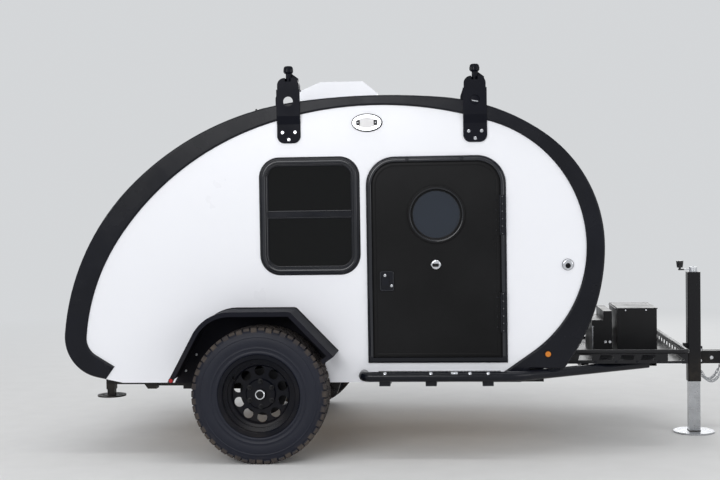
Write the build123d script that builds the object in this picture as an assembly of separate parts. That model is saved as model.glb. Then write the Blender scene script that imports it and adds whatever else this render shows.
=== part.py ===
from build123d import *
import os
from math import asin, cos, degrees, radians, sin, sqrt, tan

# Teardrop trailer. X runs forward to the coupler, Y to the left side, Z up from the ground.
# The origin is on the ground, under the middle of the whole trailer. Sizes are in millimetres.

os.makedirs("parts", exist_ok=True)

# Body outline in side view: tangent arcs from the foremost point, up, over the roof and down
NOSE_X = 970
NOSE_Z = 1151
CHIN_RADIUS = 1100
OUTLINE_ARCS = [
    # radius, turn in degrees
    (763, 54.6),
    (1130, 29.7),
    (3728, 12.6),
    (1626, 37.7),
    (1329, 40.1),
    (230, 83.3),
]
BODY_BOTTOM = 410
CHIN_BOTTOM = 484
CHIN_NOTCH_X = 560
CHIN_NOTCH_SLOPE = 50

# Black border on each side, between the outline and this inner line
BORDER_PROUD = 12
BORDER_ROUND = 10
BORDER_X = 871
BORDER_Z = 1149
BORDER_ARCS = [
    # radius, turn in degrees
    (720, 71.0),
    (2016, 37.8),
    (1599, 37.1),
    (1150, 29.1),
    (110, 64.0),
]
BORDER_CHIN_RADIUS = 700
BORDER_CHIN_TURN = 55
BORDER_CUT_X = -1816
BORDER_CUT_TOP = (-1765, 502)

# Walls and shell
HALF_WIDTH = 800
WALL = 38
HATCH_SEAM_X = -940
HATCH_BOTTOM = 720
PANEL_BACK_X = -1722
GAP = 6
SNUG = 0.3
SLIDE_FIT = 0.4
PIN_FIT = 0.5

# Chassis of square tube
FRAME_TOP = 482
FRAME_DEPTH = 76
RAIL_WIDTH = 76
RAIL_BACK_X = -1720
RAIL_FRONT_X = 636
TUBE_WALL = 4
CROSSMEMBERS_X = [-1682, -1100, -500, 50, 598]
FLOOR = 18
FLOOR_BACK_X = -1868
FLOOR_FRONT_X = 688

# Tongue, coupler and jack
BEAM_WIDTH = 76
BEAM_FRONT_X = 1860
OUTRIGGER_SIZE = 40
OUTRIGGERS = [
    # place along X, how far its end stays inside the body's side
    (880, 240),
    (1282, 395),
]
BALL_RADIUS = 25.8
BALL_DEPTH = 34
COUPLER_NOSE_RADIUS = 50
COUPLER_BASE_Z = 440
COUPLER_TOP_Z = 500
COUPLER_WALL = 6
COUPLER_NECK = 40
COUPLER_LATCH = (110, 26, 28)
COUPLER_LATCH_BACK = 70
JACK_X = 1568
JACK_Y = -90
JACK_TUBE = 76
JACK_TUBE_WALL = 5
JACK_TUBE_ROUND = 8
JACK_BOTTOM = 310
JACK_TOP = 963
JACK_FOOT_RADIUS = 120
JACK_FOOT_THICK = 10
JACK_TRAVEL = 220
JACK_HEAD = 20
JACK_OVERLAP = 20
JACK_BRACKET = 120
JACK_BRACKET_RISE = 30
JACK_LUG = (24, 24, 53)
JACK_CAP = (24, 28)
CRANK_REACH = 77
CRANK_ARM = (18, 8)
CRANK_RISE = 10
CRANK_PEG_RADIUS = 7
CRANK_KNOB = (17, 22, 40)

# Tray and boxes on the tongue
TRAY_BACK_X = 774
TRAY_RAIL_BACK_X = 812
TRAY_FRONT_X = 1444
TRAY_HALF = 600
TRAY_SHEET = 4
TRAY_BOTTOM = 482
TRAY_TUBE_RADIUS = 12.5
TRAY_TOP = 561
TRAY_BEND = 25
TRAY_SLOTS_X = [880, 995, 1110, 1225]
TRAY_SLOT = (82, 28)
TRAY_SLOT_LEAN = 8
TRAY_GAP = (110, 60, 12, 40)
TRAY_FRONT_SLOTS = 11
TRAY_FRONT_PITCH = 97
TRAY_FRONT_SLOT = (60, 22)
BOX_BACK_X = 1106
BOX_FRONT_X = 1337
BOX_HALF = 200
BOX_TOP = 752
BOX_SHEET = 4
LID_THICK = 6
LID_PIN_RADIUS = 4
LID_HINGE_X = BOX_BACK_X - 3.5
LID_HINGE_Z = BOX_TOP - 2
BATTERY_BACK_X = 958
BATTERY_STEP_X = 1026
BATTERY_FRONT_X = 1076
BATTERY_LOW = 688
BATTERY_HIGH = 741
BATTERY_ROUND = 6

# Wheels and suspension
WHEEL_X = -905
TYRE_RADIUS = 372
WHEEL_Z = TYRE_RADIUS
TYRE_WIDTH = 225
TYRE_GAP = 25
LUGS = 55
LUG_SHARE = 0.62
LUG_DEPTH = 12
BEAD_RADIUS = 204
FLANGE_RADIUS = 223
RIM_WELL_RADIUS = 178
DISC_RADIUS = 158
RIM_HOLES = 10
RIM_HOLE_TURN = 2.2
RIM_HOLE_CIRCLE = 127.5
RIM_HOLE_RADIUS = 27
HUB_RADIUS = 77
STUDS = 6
STUD_CIRCLE = 69.85
SPINDLE_RADIUS = 20
RUNNING_FIT = 0.08
DRUM_RADIUS = 130
RIM_WIDTH = 212
ARM_INSET = 10
ARM_THICK = 36
ARM_PLAY = 4
ARM_PIVOT_X = -545
ARM_PIVOT_Z = 356
SUSPENSION_BACK_X = -1618
SUSPENSION_FRONT_X = -489
SUSPENSION_WIDTH = 58
SUSPENSION_DEPTH = 38
SUSPENSION_PIVOT_DEPTH = 74
# Raised part of the rail's underside, from and to, before the back end
SUSPENSION_NOTCH = (78, 233, 18)

# Fender outline in side view; it reaches as far out as the tyre
FENDER_THICK = 6
FENDER_LIP = 25
FENDER_TOP = 826
FENDER_BACK = (-1400, 448)
FENDER_KNEE_BACK = (-1195, 229)
FENDER_KNEE_FRONT = (-727, 30)
FENDER_TIP = (-494, 584)
FENDER_RETURN = (-563, 535)
TYRE_CLEARANCE = 20

# Doors
DOOR_BACK_X = -328
DOOR_FRONT_X = 440
DOOR_LOW = 517
DOOR_HIGH = 1656
DOOR_CORNER = 160
DOOR_BAND = 30
DOOR_FRAME_PROUD = 14
DOOR_FRAME_ROUND = 11
DOOR_PROUD = 8
PORTHOLE_X = 58
PORTHOLE_Z = 1334
PORTHOLE_RING = 160
PORTHOLE_GLASS = 134
RING_PROUD = 10
RING_FLARE = 10
GRAB_X = 53
GRAB_Z = 1059
GRAB_RADIUS = 28
HANDLE_X = -218
HANDLE_Z = 971
HANDLE_SIZE = (77, 110)
LOCKS = [(-10, 31), (26, -26)]
HINGES_Z = [794, 1326]
HINGE_LENGTH = 220
HINGE_RADIUS = 7
HINGE_LEAF = 45
DOOR_PIN_RADIUS = 5

# Windows
WINDOW_BACK_X = -919
WINDOW_FRONT_X = -365
WINDOW_LOW = 1011
WINDOW_HIGH = 1659
WINDOW_CORNER = 110
WINDOW_BAND = 36
WINDOW_BAR_Z = 1344
WINDOW_PROUD = 10
WINDOW_ROUND = 8
GLASS = 5

# Sliders beside the doors
SLIDER_RADIUS = 27
SLIDER_REACH = 100
SLIDER_Z = 454
SLIDER_BACK_X = -351
SLIDER_BACK_BEND = 50
SLIDER_BEND_X = 483
SLIDER_BEND = 250
SLIDER_END_X = 1290
SLIDER_END_IN = 444
STEP_BACK_X = -270
STEP_FRONT_X = 400
STEP_RISE = 20
STEP_SHEET = 4
STEP_BRACKETS_X = [-233, 20, 329]
SLIDER_BRACKET = (60, 6)
SLIDER_BRACKET_IN = 22

# Roof rack mounts and vent
RACKS = [
    # place along X, lower end
    (-750, 1739),
    (276, 1727),
]
RACK_WIDTH = 130
RACK_HEIGHT = 296
RACK_CORNER = 40
RACK_JOGGLE = (104, 150)
RACK_PLATE = 8
RACK_DEPTH = 70
RACK_HOLE_RADIUS = 27
RACK_HOLE_DROP = 66
RACK_HEAD_HALF = 60
RACK_HEAD_RISE = 64
RACK_FIN_RISE = 92
RACK_STUD_RADIUS = 15
RACK_KNOB_RADIUS = 26
RACK_KNOB_RISE = 131
RACK_KNOB_HEIGHT = 42
RACK_LEG_LEAN = 14
VENT_X = -552
VENT_BASE = (500, 480)
VENT_HOLE = 356
VENT_RISE = 46
VENT_LID_HEIGHT = 100
VENT_LID_RIM = 30
VENT_LID_SHEET = 5
VENT_LID_FLAT = (-638, -384)
VENT_PIN_RADIUS = 5
VENT_HINGE_X = VENT_X + VENT_BASE[0] / 2 + 12
VENT_HINGE_HALF = 160
VENT_KNUCKLES_Y = 150
VENT_KNUCKLE = 30

# Lamps and plate
PORCH_X = -316
PORCH_Z = 1844
PORCH_SIZE = (158, 88)
COURTESY_X = 770
COURTESY_Z = 1051
COURTESY_RADIUS = 30
AMBER = (657, 565, 15)
RED = (-1381, 458, 11)
TAIL_LAMP_INSET = 160
TAIL_LAMP_Z = 664
TAIL_LAMP_SIZE = (170, 60)
TAIL_LAMP_PROUD = 14
PLATE_SIZE = (305, 152)

# Rear stabilizers
STAB_X = -1844
STAB_INSET = 200
STAB_TUBE = 50
STAB_TUBE_WALL = 4
STAB_LOW = 345
STAB_HIGH = 700
STAB_FOOT_RADIUS = 82
STAB_FOOT_Z = 305
STAB_FOOT_THICK = 8

# Inside
BULKHEAD_X = -934
BULKHEAD = 18
MATTRESS_THICK = 120
MATTRESS_GAP = 17
COUNTER_TOP = 900
COUNTER_BACK_X = -1900
CABINET_FACE_X = -1800
BAYS = 3
BAY_POST = 76
BAY_END = 41
BAY_HEIGHT = 300
BAY_MIDDLE = 690
SHELF_Z = 1400
SHELF_DEPTH = 260
SHELF_FACE = 100


def save(name, shape):
    """Writes one node, made of one solid or of several that don't touch."""
    solids = shape.solids()
    export_step(solids[0] if len(solids) == 1 else Compound(children=solids), f"parts/{name}.step")


def block(x0, x1, y0, y1, z0, z1):
    """A box between two corners."""
    return Pos((x0 + x1) / 2, (y0 + y1) / 2, (z0 + z1) / 2) * Box(x1 - x0, y1 - y0, z1 - z0)


def side(face, y_in, y_out):
    """Extrudes a side-view face on the right side, from y_in out to y_out from the middle."""
    return extrude(Plane.XZ.offset(y_in) * face, amount=y_out - y_in, dir=(0, -1, 0))


def both(shape):
    """The right-hand piece and its mirror image on the left."""
    return Compound(children=shape.solids() + mirror(shape, about=Plane.XZ).solids())


def across(face, half):
    """Extrudes a side-view face across the whole width."""
    return extrude(Plane.XZ.offset(-half) * face, amount=2 * half, dir=(0, -1, 0))


def arc_chain(start, heading, arcs):
    """Tangent arcs from a start point. Gives the edges, the end point and the end heading."""
    edges = []
    point = Vector(*start)
    for radius, turn in arcs:
        hand = 1 if turn > 0 else -1
        centre = point + Vector(-sin(radians(heading)), cos(radians(heading))) * radius * hand
        middle = (point - centre).rotate(Axis.Z, turn / 2) + centre
        end = (point - centre).rotate(Axis.Z, turn) + centre
        edges.append(ThreePointArc(point, middle, end))
        point = end
        heading += turn
    return edges, point, heading


def line_to_level(point, heading, level):
    """Where a straight line from a point reaches a level."""
    run = (level - point.Y) / tan(radians(heading))
    return Vector(point.X + run, level)


def loop_face(edges, corners):
    """A face from edges, closed by straight lines through the corners."""
    lines = [Line(a, b) for a, b in zip(corners, corners[1:])]
    return make_face(edges + lines)


def chin_end(level):
    """Where the chin arc reaches a level, and its angle there."""
    drop = degrees(asin((NOSE_Z - level) / CHIN_RADIUS))
    return Vector(NOSE_X - CHIN_RADIUS * (1 - cos(radians(drop))), level), drop


def body_face(chin_level, level, notch):
    """A side view of the body, down to one level at the chin and another elsewhere."""
    start, drop = chin_end(chin_level)
    chin, point, heading = arc_chain(start, 90 - drop, [(CHIN_RADIUS, drop)])
    upper, point, heading = arc_chain((NOSE_X, NOSE_Z), 90, OUTLINE_ARCS)
    low = line_to_level(point, heading, level)
    return loop_face(chin + upper, [point, low] + notch + [start])


def border_inner():
    """The white field inside the border, closed far below."""
    edges, point, heading = arc_chain((BORDER_X, BORDER_Z), 90, BORDER_ARCS)
    chin, low, low_heading = arc_chain((BORDER_X, BORDER_Z), 270, [(BORDER_CHIN_RADIUS, -BORDER_CHIN_TURN)])
    below = BODY_BOTTOM - 100
    cut_low = Vector(BORDER_CUT_X, BODY_BOTTOM + 22)
    cut_top = Vector(*BORDER_CUT_TOP)
    slope = (cut_top - cut_low) * 2
    corners = [
        point,
        cut_top,
        cut_low - slope,
        Vector(low.X - 200, below),
        line_to_level(low, low_heading, below),
        low,
    ]
    return loop_face(edges + chin, corners)


def rounded_top(x0, x1, z0, z1, radius):
    """A doorway shape: square at the bottom, round at both top corners."""
    face = make_face(Polyline((x0, z0), (x1, z0), (x1, z1), (x0, z1), (x0, z0)))
    tops = face.vertices().sort_by(Axis.Y)[-2:]
    return fillet(tops, radius)


def rounded(x0, x1, z0, z1, radius):
    """A rectangle with four round corners, in side view."""
    return Pos((x0 + x1) / 2, (z0 + z1) / 2) * RectangleRounded(x1 - x0, z1 - z0, radius)


# The whole side view, stepped up in front where the sliders pass, and the skin's own strip
NOTCH = [Vector(CHIN_NOTCH_X - CHIN_NOTCH_SLOPE, BODY_BOTTOM), Vector(CHIN_NOTCH_X, CHIN_BOTTOM)]
OUTLINE = body_face(CHIN_BOTTOM, BODY_BOTTOM, NOTCH)
SKIN_LOW = BODY_BOTTOM - 2 * WALL
SKIN = body_face(SKIN_LOW, SKIN_LOW, [])
INNER = offset(SKIN, -WALL)
BODY_SOLID = across(OUTLINE, HALF_WIDTH)
FAR = 4 * HALF_WIDTH
INSIDE = HALF_WIDTH - WALL
REAR_X = OUTLINE.bounding_box().min.X
FRONT_END_X = -(REAR_X - TAIL_LAMP_PROUD)
BALL_X = FRONT_END_X - COUPLER_NOSE_RADIUS
FRAME_LOW = FRAME_TOP - FRAME_DEPTH
FLOOR_TOP = FRAME_TOP + FLOOR
WHEEL_CENTRE_Y = HALF_WIDTH + TYRE_GAP + TYRE_WIDTH / 2
FENDER_OUT = HALF_WIDTH + TYRE_GAP + TYRE_WIDTH
ARM_OUT = HALF_WIDTH - ARM_INSET
ARM_IN = ARM_OUT - ARM_THICK
SUSPENSION_OUT = ARM_IN - ARM_PLAY
SLIDER_Y = HALF_WIDTH + SLIDER_REACH
TAIL_LAMP_Y = HALF_WIDTH - TAIL_LAMP_INSET
STAB_Y = HALF_WIDTH - STAB_INSET
MATTRESS_HALF = INSIDE - MATTRESS_GAP
BAY_WIDTH = (2 * (INSIDE - BAY_END) - (BAYS - 1) * BAY_POST) / BAYS
BAY_PITCH = BAY_WIDTH + BAY_POST
DOOR_FACE = HALF_WIDTH + DOOR_PROUD
DOOR_FRAME_FACE = HALF_WIDTH + DOOR_FRAME_PROUD
DOOR_HINGE_X = DOOR_FRONT_X - DOOR_BAND - GAP / 2
DOOR_HINGE_Y = DOOR_FRAME_FACE + DOOR_PIN_RADIUS


def door_outer():
    return rounded_top(DOOR_BACK_X, DOOR_FRONT_X, DOOR_LOW, DOOR_HIGH, DOOR_CORNER)


def door_inset(inset):
    x0 = DOOR_BACK_X + inset
    x1 = DOOR_FRONT_X - inset
    return rounded_top(x0, x1, DOOR_LOW + inset, DOOR_HIGH - inset, DOOR_CORNER - inset)


def window_inset(inset):
    x0 = WINDOW_BACK_X + inset
    x1 = WINDOW_FRONT_X - inset
    return rounded(x0, x1, WINDOW_LOW + inset, WINDOW_HIGH - inset, WINDOW_CORNER - inset)


def side_walls():
    """Each wall is one panel, cut for the door and the window."""
    face = OUTLINE - door_outer() - window_inset(0)
    wall = side(face, INSIDE, HALF_WIDTH)
    save("side_wall_right", wall)
    save("side_wall_left", mirror(wall, about=Plane.XZ))


def border_strip():
    """The border on the right side, with its outer edges rounded."""
    strip = side(OUTLINE - border_inner(), HALF_WIDTH, HALF_WIDTH + BORDER_PROUD)
    return fillet(strip.faces().sort_by(Axis.Y)[0].edges(), BORDER_ROUND)


BORDER_SOLID = both(border_strip())


def borders():
    """The raised black border along the edge of each wall."""
    save("edge_borders", BORDER_SOLID)


def shell():
    """Roof and front skin, hatch and rear panel, cut from one curved strip."""
    strip = across(SKIN - INNER, INSIDE)
    roof = strip & block(HATCH_SEAM_X + GAP / 2, FAR, -FAR, FAR, FRAME_TOP, FAR)
    hole = block(VENT_X - VENT_HOLE / 2, VENT_X + VENT_HOLE / 2, -VENT_HOLE / 2, VENT_HOLE / 2, NOSE_Z, FAR)
    save("roof_shell", roof - hole)
    hatch_strip = across(SKIN - INNER, INSIDE - GAP)
    hatch = hatch_strip & block(-FAR, HATCH_SEAM_X - GAP / 2, -FAR, FAR, HATCH_BOTTOM + GAP / 2, FAR)
    save("galley_hatch", hatch + hinge_leaf(HATCH_SEAM_X - HINGE_LEAF, HATCH_SEAM_X - HINGE_RADIUS - PIN_FIT))
    panel = strip & block(-FAR, PANEL_BACK_X, -FAR, FAR, BODY_BOTTOM, HATCH_BOTTOM - GAP / 2)
    save("rear_panel", panel - stab_wells())


def stab_wells():
    """The room of both stabilizer tubes, with a little to spare."""
    half = STAB_TUBE / 2 + 1
    well = block(STAB_X - half, STAB_X + half, -STAB_Y - half, -STAB_Y + half, STAB_LOW, STAB_HIGH)
    return well + mirror(well, about=Plane.XZ)


def roof_height(x):
    """The outline's height at a place along X."""
    cut = BODY_SOLID & block(x - 1, x + 1, -1, 1, NOSE_Z, FAR)
    return cut.bounding_box().max.Z


HATCH_HINGE_Z = roof_height(HATCH_SEAM_X) + HINGE_RADIUS + 1
HATCH_HINGE_HALF = INSIDE - 20
VENT_BASE_TOP = roof_height(VENT_X) + VENT_RISE
VENT_LID_TOP = VENT_BASE_TOP + VENT_LID_HEIGHT
VENT_HINGE_Z = VENT_BASE_TOP + 4


def hinge_leaf(x0, x1):
    """A strip of the hatch hinge's leaf, bent to the roof."""
    strip = across(offset(SKIN, HINGE_RADIUS + 1) - SKIN, HATCH_HINGE_HALF)
    return strip & block(x0, x1, -HALF_WIDTH, HALF_WIDTH, HATCH_HINGE_Z - 60, HATCH_HINGE_Z + 60)


def hatch_hinge():
    """A long barrel along the seam, with its leaf on the roof."""
    barrel = Rot(90, 0, 0) * Cylinder(HINGE_RADIUS, 2 * HATCH_HINGE_HALF)
    barrel = Pos(HATCH_SEAM_X, 0, HATCH_HINGE_Z) * barrel
    save("hatch_hinge", barrel + hinge_leaf(HATCH_SEAM_X + 3, HATCH_SEAM_X + HINGE_LEAF))


def hatch_handle():
    """A recessed T handle near the hatch's bottom edge."""
    z = HATCH_BOTTOM + 80
    plate = block(REAR_X - 8, REAR_X + 60, -70, 70, z - 35, z + 35)
    bar = block(REAR_X - 12, REAR_X - 2, -45, 45, z - 8, z + 8)
    save("hatch_handle", (plate + bar) - BODY_SOLID)


def inside():
    """Floor, bulkhead, galley cabinet and mattress."""
    floor = block(FLOOR_BACK_X, FLOOR_FRONT_X, -INSIDE, INSIDE, FRAME_TOP, FLOOR_TOP)
    save("floor", floor - stab_wells())
    cavity = across(INNER, INSIDE)
    bulkhead = cavity & block(BULKHEAD_X, BULKHEAD_X + BULKHEAD, -INSIDE, INSIDE, FLOOR_TOP, FAR)
    save("bulkhead", bulkhead)
    counter = block(COUNTER_BACK_X, BULKHEAD_X, -INSIDE, INSIDE, COUNTER_TOP - BULKHEAD, COUNTER_TOP)
    under = COUNTER_TOP - BULKHEAD
    front = block(CABINET_FACE_X, CABINET_FACE_X + BULKHEAD, -INSIDE, INSIDE, FLOOR_TOP, under)
    for i in range(BAYS):
        y = (i - (BAYS - 1) / 2) * BAY_PITCH
        front -= Pos(CABINET_FACE_X, y, BAY_MIDDLE) * Box(4 * BULKHEAD, BAY_WIDTH, BAY_HEIGHT)
    cabinet = counter + front
    wall = BULKHEAD / 2
    for i in range(BAYS - 1):
        y = (i - (BAYS - 2) / 2) * BAY_PITCH
        cabinet += block(CABINET_FACE_X, BULKHEAD_X, y - wall, y + wall, FLOOR_TOP, under)
    shelf_x = BULKHEAD_X - SHELF_DEPTH
    shelf = block(shelf_x, BULKHEAD_X, -INSIDE, INSIDE, SHELF_Z, SHELF_Z + BULKHEAD)
    shelf_face = block(shelf_x, shelf_x + BULKHEAD, -INSIDE, INSIDE, SHELF_Z, SHELF_Z + SHELF_FACE)
    cabinet = Compound(children=cabinet.solids() + (shelf + shelf_face).solids())
    save("galley_cabinet", cabinet)
    x0 = BULKHEAD_X + BULKHEAD + 6
    low = FLOOR_TOP + SNUG
    mattress = block(x0, FLOOR_FRONT_X - 8, -MATTRESS_HALF, MATTRESS_HALF, low, low + MATTRESS_THICK)
    save("mattress", fillet(mattress.edges(), 30))


def square_tube(length, width, height, wall):
    """A tube along X with its back end at the origin."""
    outer = block(0, length, -width / 2, width / 2, -height / 2, height / 2)
    bore = block(-1, length + 1, -width / 2 + wall, width / 2 - wall, -height / 2 + wall, height / 2 - wall)
    return outer - bore


def chassis():
    """Side rails, crossmembers and the tongue beam with its outriggers."""
    middle = FRAME_TOP - FRAME_DEPTH / 2
    rail_y = INSIDE - RAIL_WIDTH / 2
    rail = square_tube(RAIL_FRONT_X - RAIL_BACK_X, RAIL_WIDTH, FRAME_DEPTH, TUBE_WALL)
    save("side_rails", both(Pos(RAIL_BACK_X, -rail_y, middle) * rail))
    span = 2 * (INSIDE - RAIL_WIDTH)
    member = Rot(0, 0, 90) * Pos(-span / 2, 0, 0) * square_tube(span, RAIL_WIDTH, FRAME_DEPTH, TUBE_WALL)
    members = [Pos(x, 0, middle) * member for x in CROSSMEMBERS_X]
    save("crossmembers", Compound(children=[m.solid() for m in members]))
    back = CROSSMEMBERS_X[-1] + RAIL_WIDTH / 2
    beam = Pos(back, 0, middle) * square_tube(BEAM_FRONT_X - back, BEAM_WIDTH, FRAME_DEPTH, TUBE_WALL)
    save("tongue_beam", beam)
    pieces = []
    for x, short in OUTRIGGERS:
        length = HALF_WIDTH - short - BEAM_WIDTH / 2
        arm = square_tube(length, OUTRIGGER_SIZE, OUTRIGGER_SIZE, TUBE_WALL)
        arm = Rot(0, 0, -90) * Pos(BEAM_WIDTH / 2, 0, 0) * arm
        pieces += both(Pos(x, 0, FRAME_TOP - OUTRIGGER_SIZE / 2) * arm).solids()
    save("tongue_outriggers", Compound(children=pieces))


def coupler():
    """A ball coupler: a channel over the beam, a round nose and a socket open below."""
    back = BEAM_FRONT_X - 10
    neck = BEAM_FRONT_X + COUPLER_NECK
    half = BEAM_WIDTH / 2 + COUPLER_WALL
    z0 = COUPLER_BASE_Z
    z1 = COUPLER_TOP_Z
    plan = make_face(Polyline(
        (back, -half), (neck, -half), (BALL_X, -COUPLER_NOSE_RADIUS), (BALL_X, COUPLER_NOSE_RADIUS),
        (neck, half), (back, half), (back, -half)))
    plan = plan + Pos(BALL_X, 0) * Circle(COUPLER_NOSE_RADIUS)
    body = extrude(Pos(0, 0, z0) * plan, amount=z1 - z0)
    body = fillet(body.edges().filter_by(Plane.XY).group_by(Axis.Z)[-1], 10)
    body -= Pos(BALL_X, 0, z0) * Cylinder(BALL_RADIUS, 2 * BALL_DEPTH)
    body -= block(back - 1, BEAM_FRONT_X + SNUG, -BEAM_WIDTH / 2, BEAM_WIDTH / 2, 0, FRAME_TOP)
    latch = Pos(BALL_X - COUPLER_LATCH_BACK, 0, z1 + COUPLER_LATCH[2] / 2) * Box(*COUPLER_LATCH)
    latch = fillet(latch.edges().filter_by(Axis.Y), 10)
    save("coupler", body + latch)


def jack():
    """Tongue jack: outer tube with its bracket and crank, and the leg with its foot."""
    half = JACK_TUBE / 2
    inner = half - JACK_TUBE_WALL
    tube = block(-half, half, -half, half, JACK_BOTTOM, JACK_TOP)
    tube = fillet(tube.edges().filter_by(Axis.Z), JACK_TUBE_ROUND)
    tube -= block(-inner, inner, -inner, inner, JACK_BOTTOM - 1, JACK_TOP - JACK_HEAD)
    tube = Pos(JACK_X, JACK_Y, 0) * tube
    reach = JACK_BRACKET / 2
    bracket = block(JACK_X - reach, JACK_X + reach, JACK_Y + half, -BEAM_WIDTH / 2,
                    FRAME_LOW, FRAME_TOP + JACK_BRACKET_RISE)
    length, width, height = JACK_LUG
    lug = block(JACK_X - half - length, JACK_X - half, JACK_Y - width / 2, JACK_Y + width / 2,
                FRAME_TOP + 2, FRAME_TOP + 2 + height)
    save("jack_tube", tube + bracket + lug)
    radius, height = JACK_CAP
    cap = Pos(JACK_X, JACK_Y, JACK_TOP + height / 2) * Cylinder(radius, height)
    width, thick = CRANK_ARM
    arm_low = JACK_TOP + CRANK_RISE
    peg_x = JACK_X - CRANK_REACH
    arm = block(peg_x - width / 2, JACK_X, JACK_Y - width / 2, JACK_Y + width / 2, arm_low, arm_low + thick)
    neck, crown, height = CRANK_KNOB
    peg = Pos(peg_x, JACK_Y, arm_low + thick) * Cylinder(CRANK_PEG_RADIUS, 2 * thick)
    knob = Pos(peg_x, JACK_Y, arm_low + 2 * thick + height / 2) * Cone(neck, crown, height)
    save("jack_crank", cap + arm + peg + knob)
    leg_half = inner - SLIDE_FIT
    leg_top = JACK_TOP - JACK_HEAD - JACK_TRAVEL - JACK_OVERLAP
    leg = block(-leg_half, leg_half, -leg_half, leg_half, JACK_FOOT_THICK, leg_top)
    leg = Pos(JACK_X, JACK_Y, 0) * leg
    foot = Pos(JACK_X, JACK_Y, JACK_FOOT_THICK / 2) * Cylinder(JACK_FOOT_RADIUS, JACK_FOOT_THICK)
    save("jack_leg", leg + foot)


def tongue_tray():
    """A rectangular tray: sheet floor, slotted sides and a round top rail bent down at its rear ends."""
    floor = block(TRAY_BACK_X, TRAY_FRONT_X, -TRAY_HALF, TRAY_HALF, TRAY_BOTTOM, TRAY_BOTTOM + TRAY_SHEET)
    rail_z = TRAY_TOP - TRAY_TUBE_RADIUS
    end_z = TRAY_BOTTOM + TRAY_TUBE_RADIUS
    wall_face = make_face(Polyline(
        (TRAY_BACK_X, TRAY_BOTTOM), (TRAY_FRONT_X, TRAY_BOTTOM), (TRAY_FRONT_X, rail_z),
        (TRAY_RAIL_BACK_X, rail_z),
        (TRAY_BACK_X, end_z), (TRAY_BACK_X, TRAY_BOTTOM)))
    slot_z = (TRAY_BOTTOM + rail_z) / 2
    width, height = TRAY_SLOT
    slot = make_face(Polyline(
        (-width / 2, -height / 2), (width / 2 - TRAY_SLOT_LEAN, -height / 2), (width / 2, height / 2),
        (-width / 2 + TRAY_SLOT_LEAN, height / 2), (-width / 2, -height / 2)))
    for x in TRAY_SLOTS_X:
        wall_face -= Pos(x, slot_z) * slot
    back, top, front, height = TRAY_GAP
    low = slot_z - height / 2
    wall_face -= make_face(Polyline(
        (TRAY_FRONT_X - back, low), (TRAY_FRONT_X - front, low), (TRAY_FRONT_X - top, low + height),
        (TRAY_FRONT_X - back, low + height), (TRAY_FRONT_X - back, low)))
    wall = side(wall_face, TRAY_HALF - TRAY_SHEET, TRAY_HALF)
    tray = floor + wall + mirror(wall, about=Plane.XZ)
    front = block(TRAY_FRONT_X - TRAY_SHEET, TRAY_FRONT_X, -TRAY_HALF, TRAY_HALF, TRAY_BOTTOM, rail_z)
    width, height = TRAY_FRONT_SLOT
    for i in range(TRAY_FRONT_SLOTS):
        y = (i - (TRAY_FRONT_SLOTS - 1) / 2) * TRAY_FRONT_PITCH
        front -= Pos(TRAY_FRONT_X, y, slot_z) * Box(4 * TRAY_SHEET, width, height)
    tray += front
    side_y = TRAY_HALF - TRAY_SHEET / 2
    path = FilletPolyline(
        (TRAY_BACK_X, -side_y, end_z), (TRAY_RAIL_BACK_X, -side_y, rail_z), (TRAY_FRONT_X, -side_y, rail_z),
        (TRAY_FRONT_X, side_y, rail_z), (TRAY_RAIL_BACK_X, side_y, rail_z), (TRAY_BACK_X, side_y, end_z),
        radius=TRAY_BEND)
    start = Plane(origin=path @ 0, z_dir=path % 0)
    rail = sweep(start * Circle(TRAY_TUBE_RADIUS), path=path)
    save("tongue_tray", tray + rail)


def tongue_boxes():
    """The open storage box with its lid, and the closed battery box beside it."""
    floor_z = TRAY_BOTTOM + TRAY_SHEET
    box = block(BOX_BACK_X, BOX_FRONT_X, -BOX_HALF, BOX_HALF, floor_z, BOX_TOP)
    box -= block(BOX_BACK_X + BOX_SHEET, BOX_FRONT_X - BOX_SHEET, -BOX_HALF + BOX_SHEET,
                 BOX_HALF - BOX_SHEET, floor_z + BOX_SHEET, BOX_TOP + 1)
    barrel = Pos(LID_HINGE_X, 0, LID_HINGE_Z) * Rot(90, 0, 0) * Cylinder(LID_PIN_RADIUS, 2 * BOX_HALF - 60)
    save("tongue_box", box + barrel)
    low = BOX_TOP + SNUG
    over = 4
    lid = block(BOX_BACK_X + 1, BOX_FRONT_X + over, -BOX_HALF - over, BOX_HALF + over, low, low + LID_THICK)
    save("tongue_box_lid", lid)
    battery = across(make_face(Polyline(
        (BATTERY_BACK_X, floor_z), (BATTERY_FRONT_X, floor_z), (BATTERY_FRONT_X, BATTERY_HIGH),
        (BATTERY_STEP_X, BATTERY_HIGH), (BATTERY_STEP_X, BATTERY_LOW), (BATTERY_BACK_X, BATTERY_LOW),
        (BATTERY_BACK_X, floor_z))), BOX_HALF)
    save("battery_box", fillet(battery.edges().filter_by(Axis.Z), BATTERY_ROUND))


def wheel_at(profile):
    """Spins a profile of radius and distance out round the right-hand wheel's axis."""
    face = Plane(origin=(0, 0, 0), x_dir=(0, 0, 1), z_dir=(1, 0, 0)) * profile
    ring = revolve(face, Axis.Y)
    return Pos(WHEEL_X, -WHEEL_CENTRE_Y, WHEEL_Z) * ring


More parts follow.
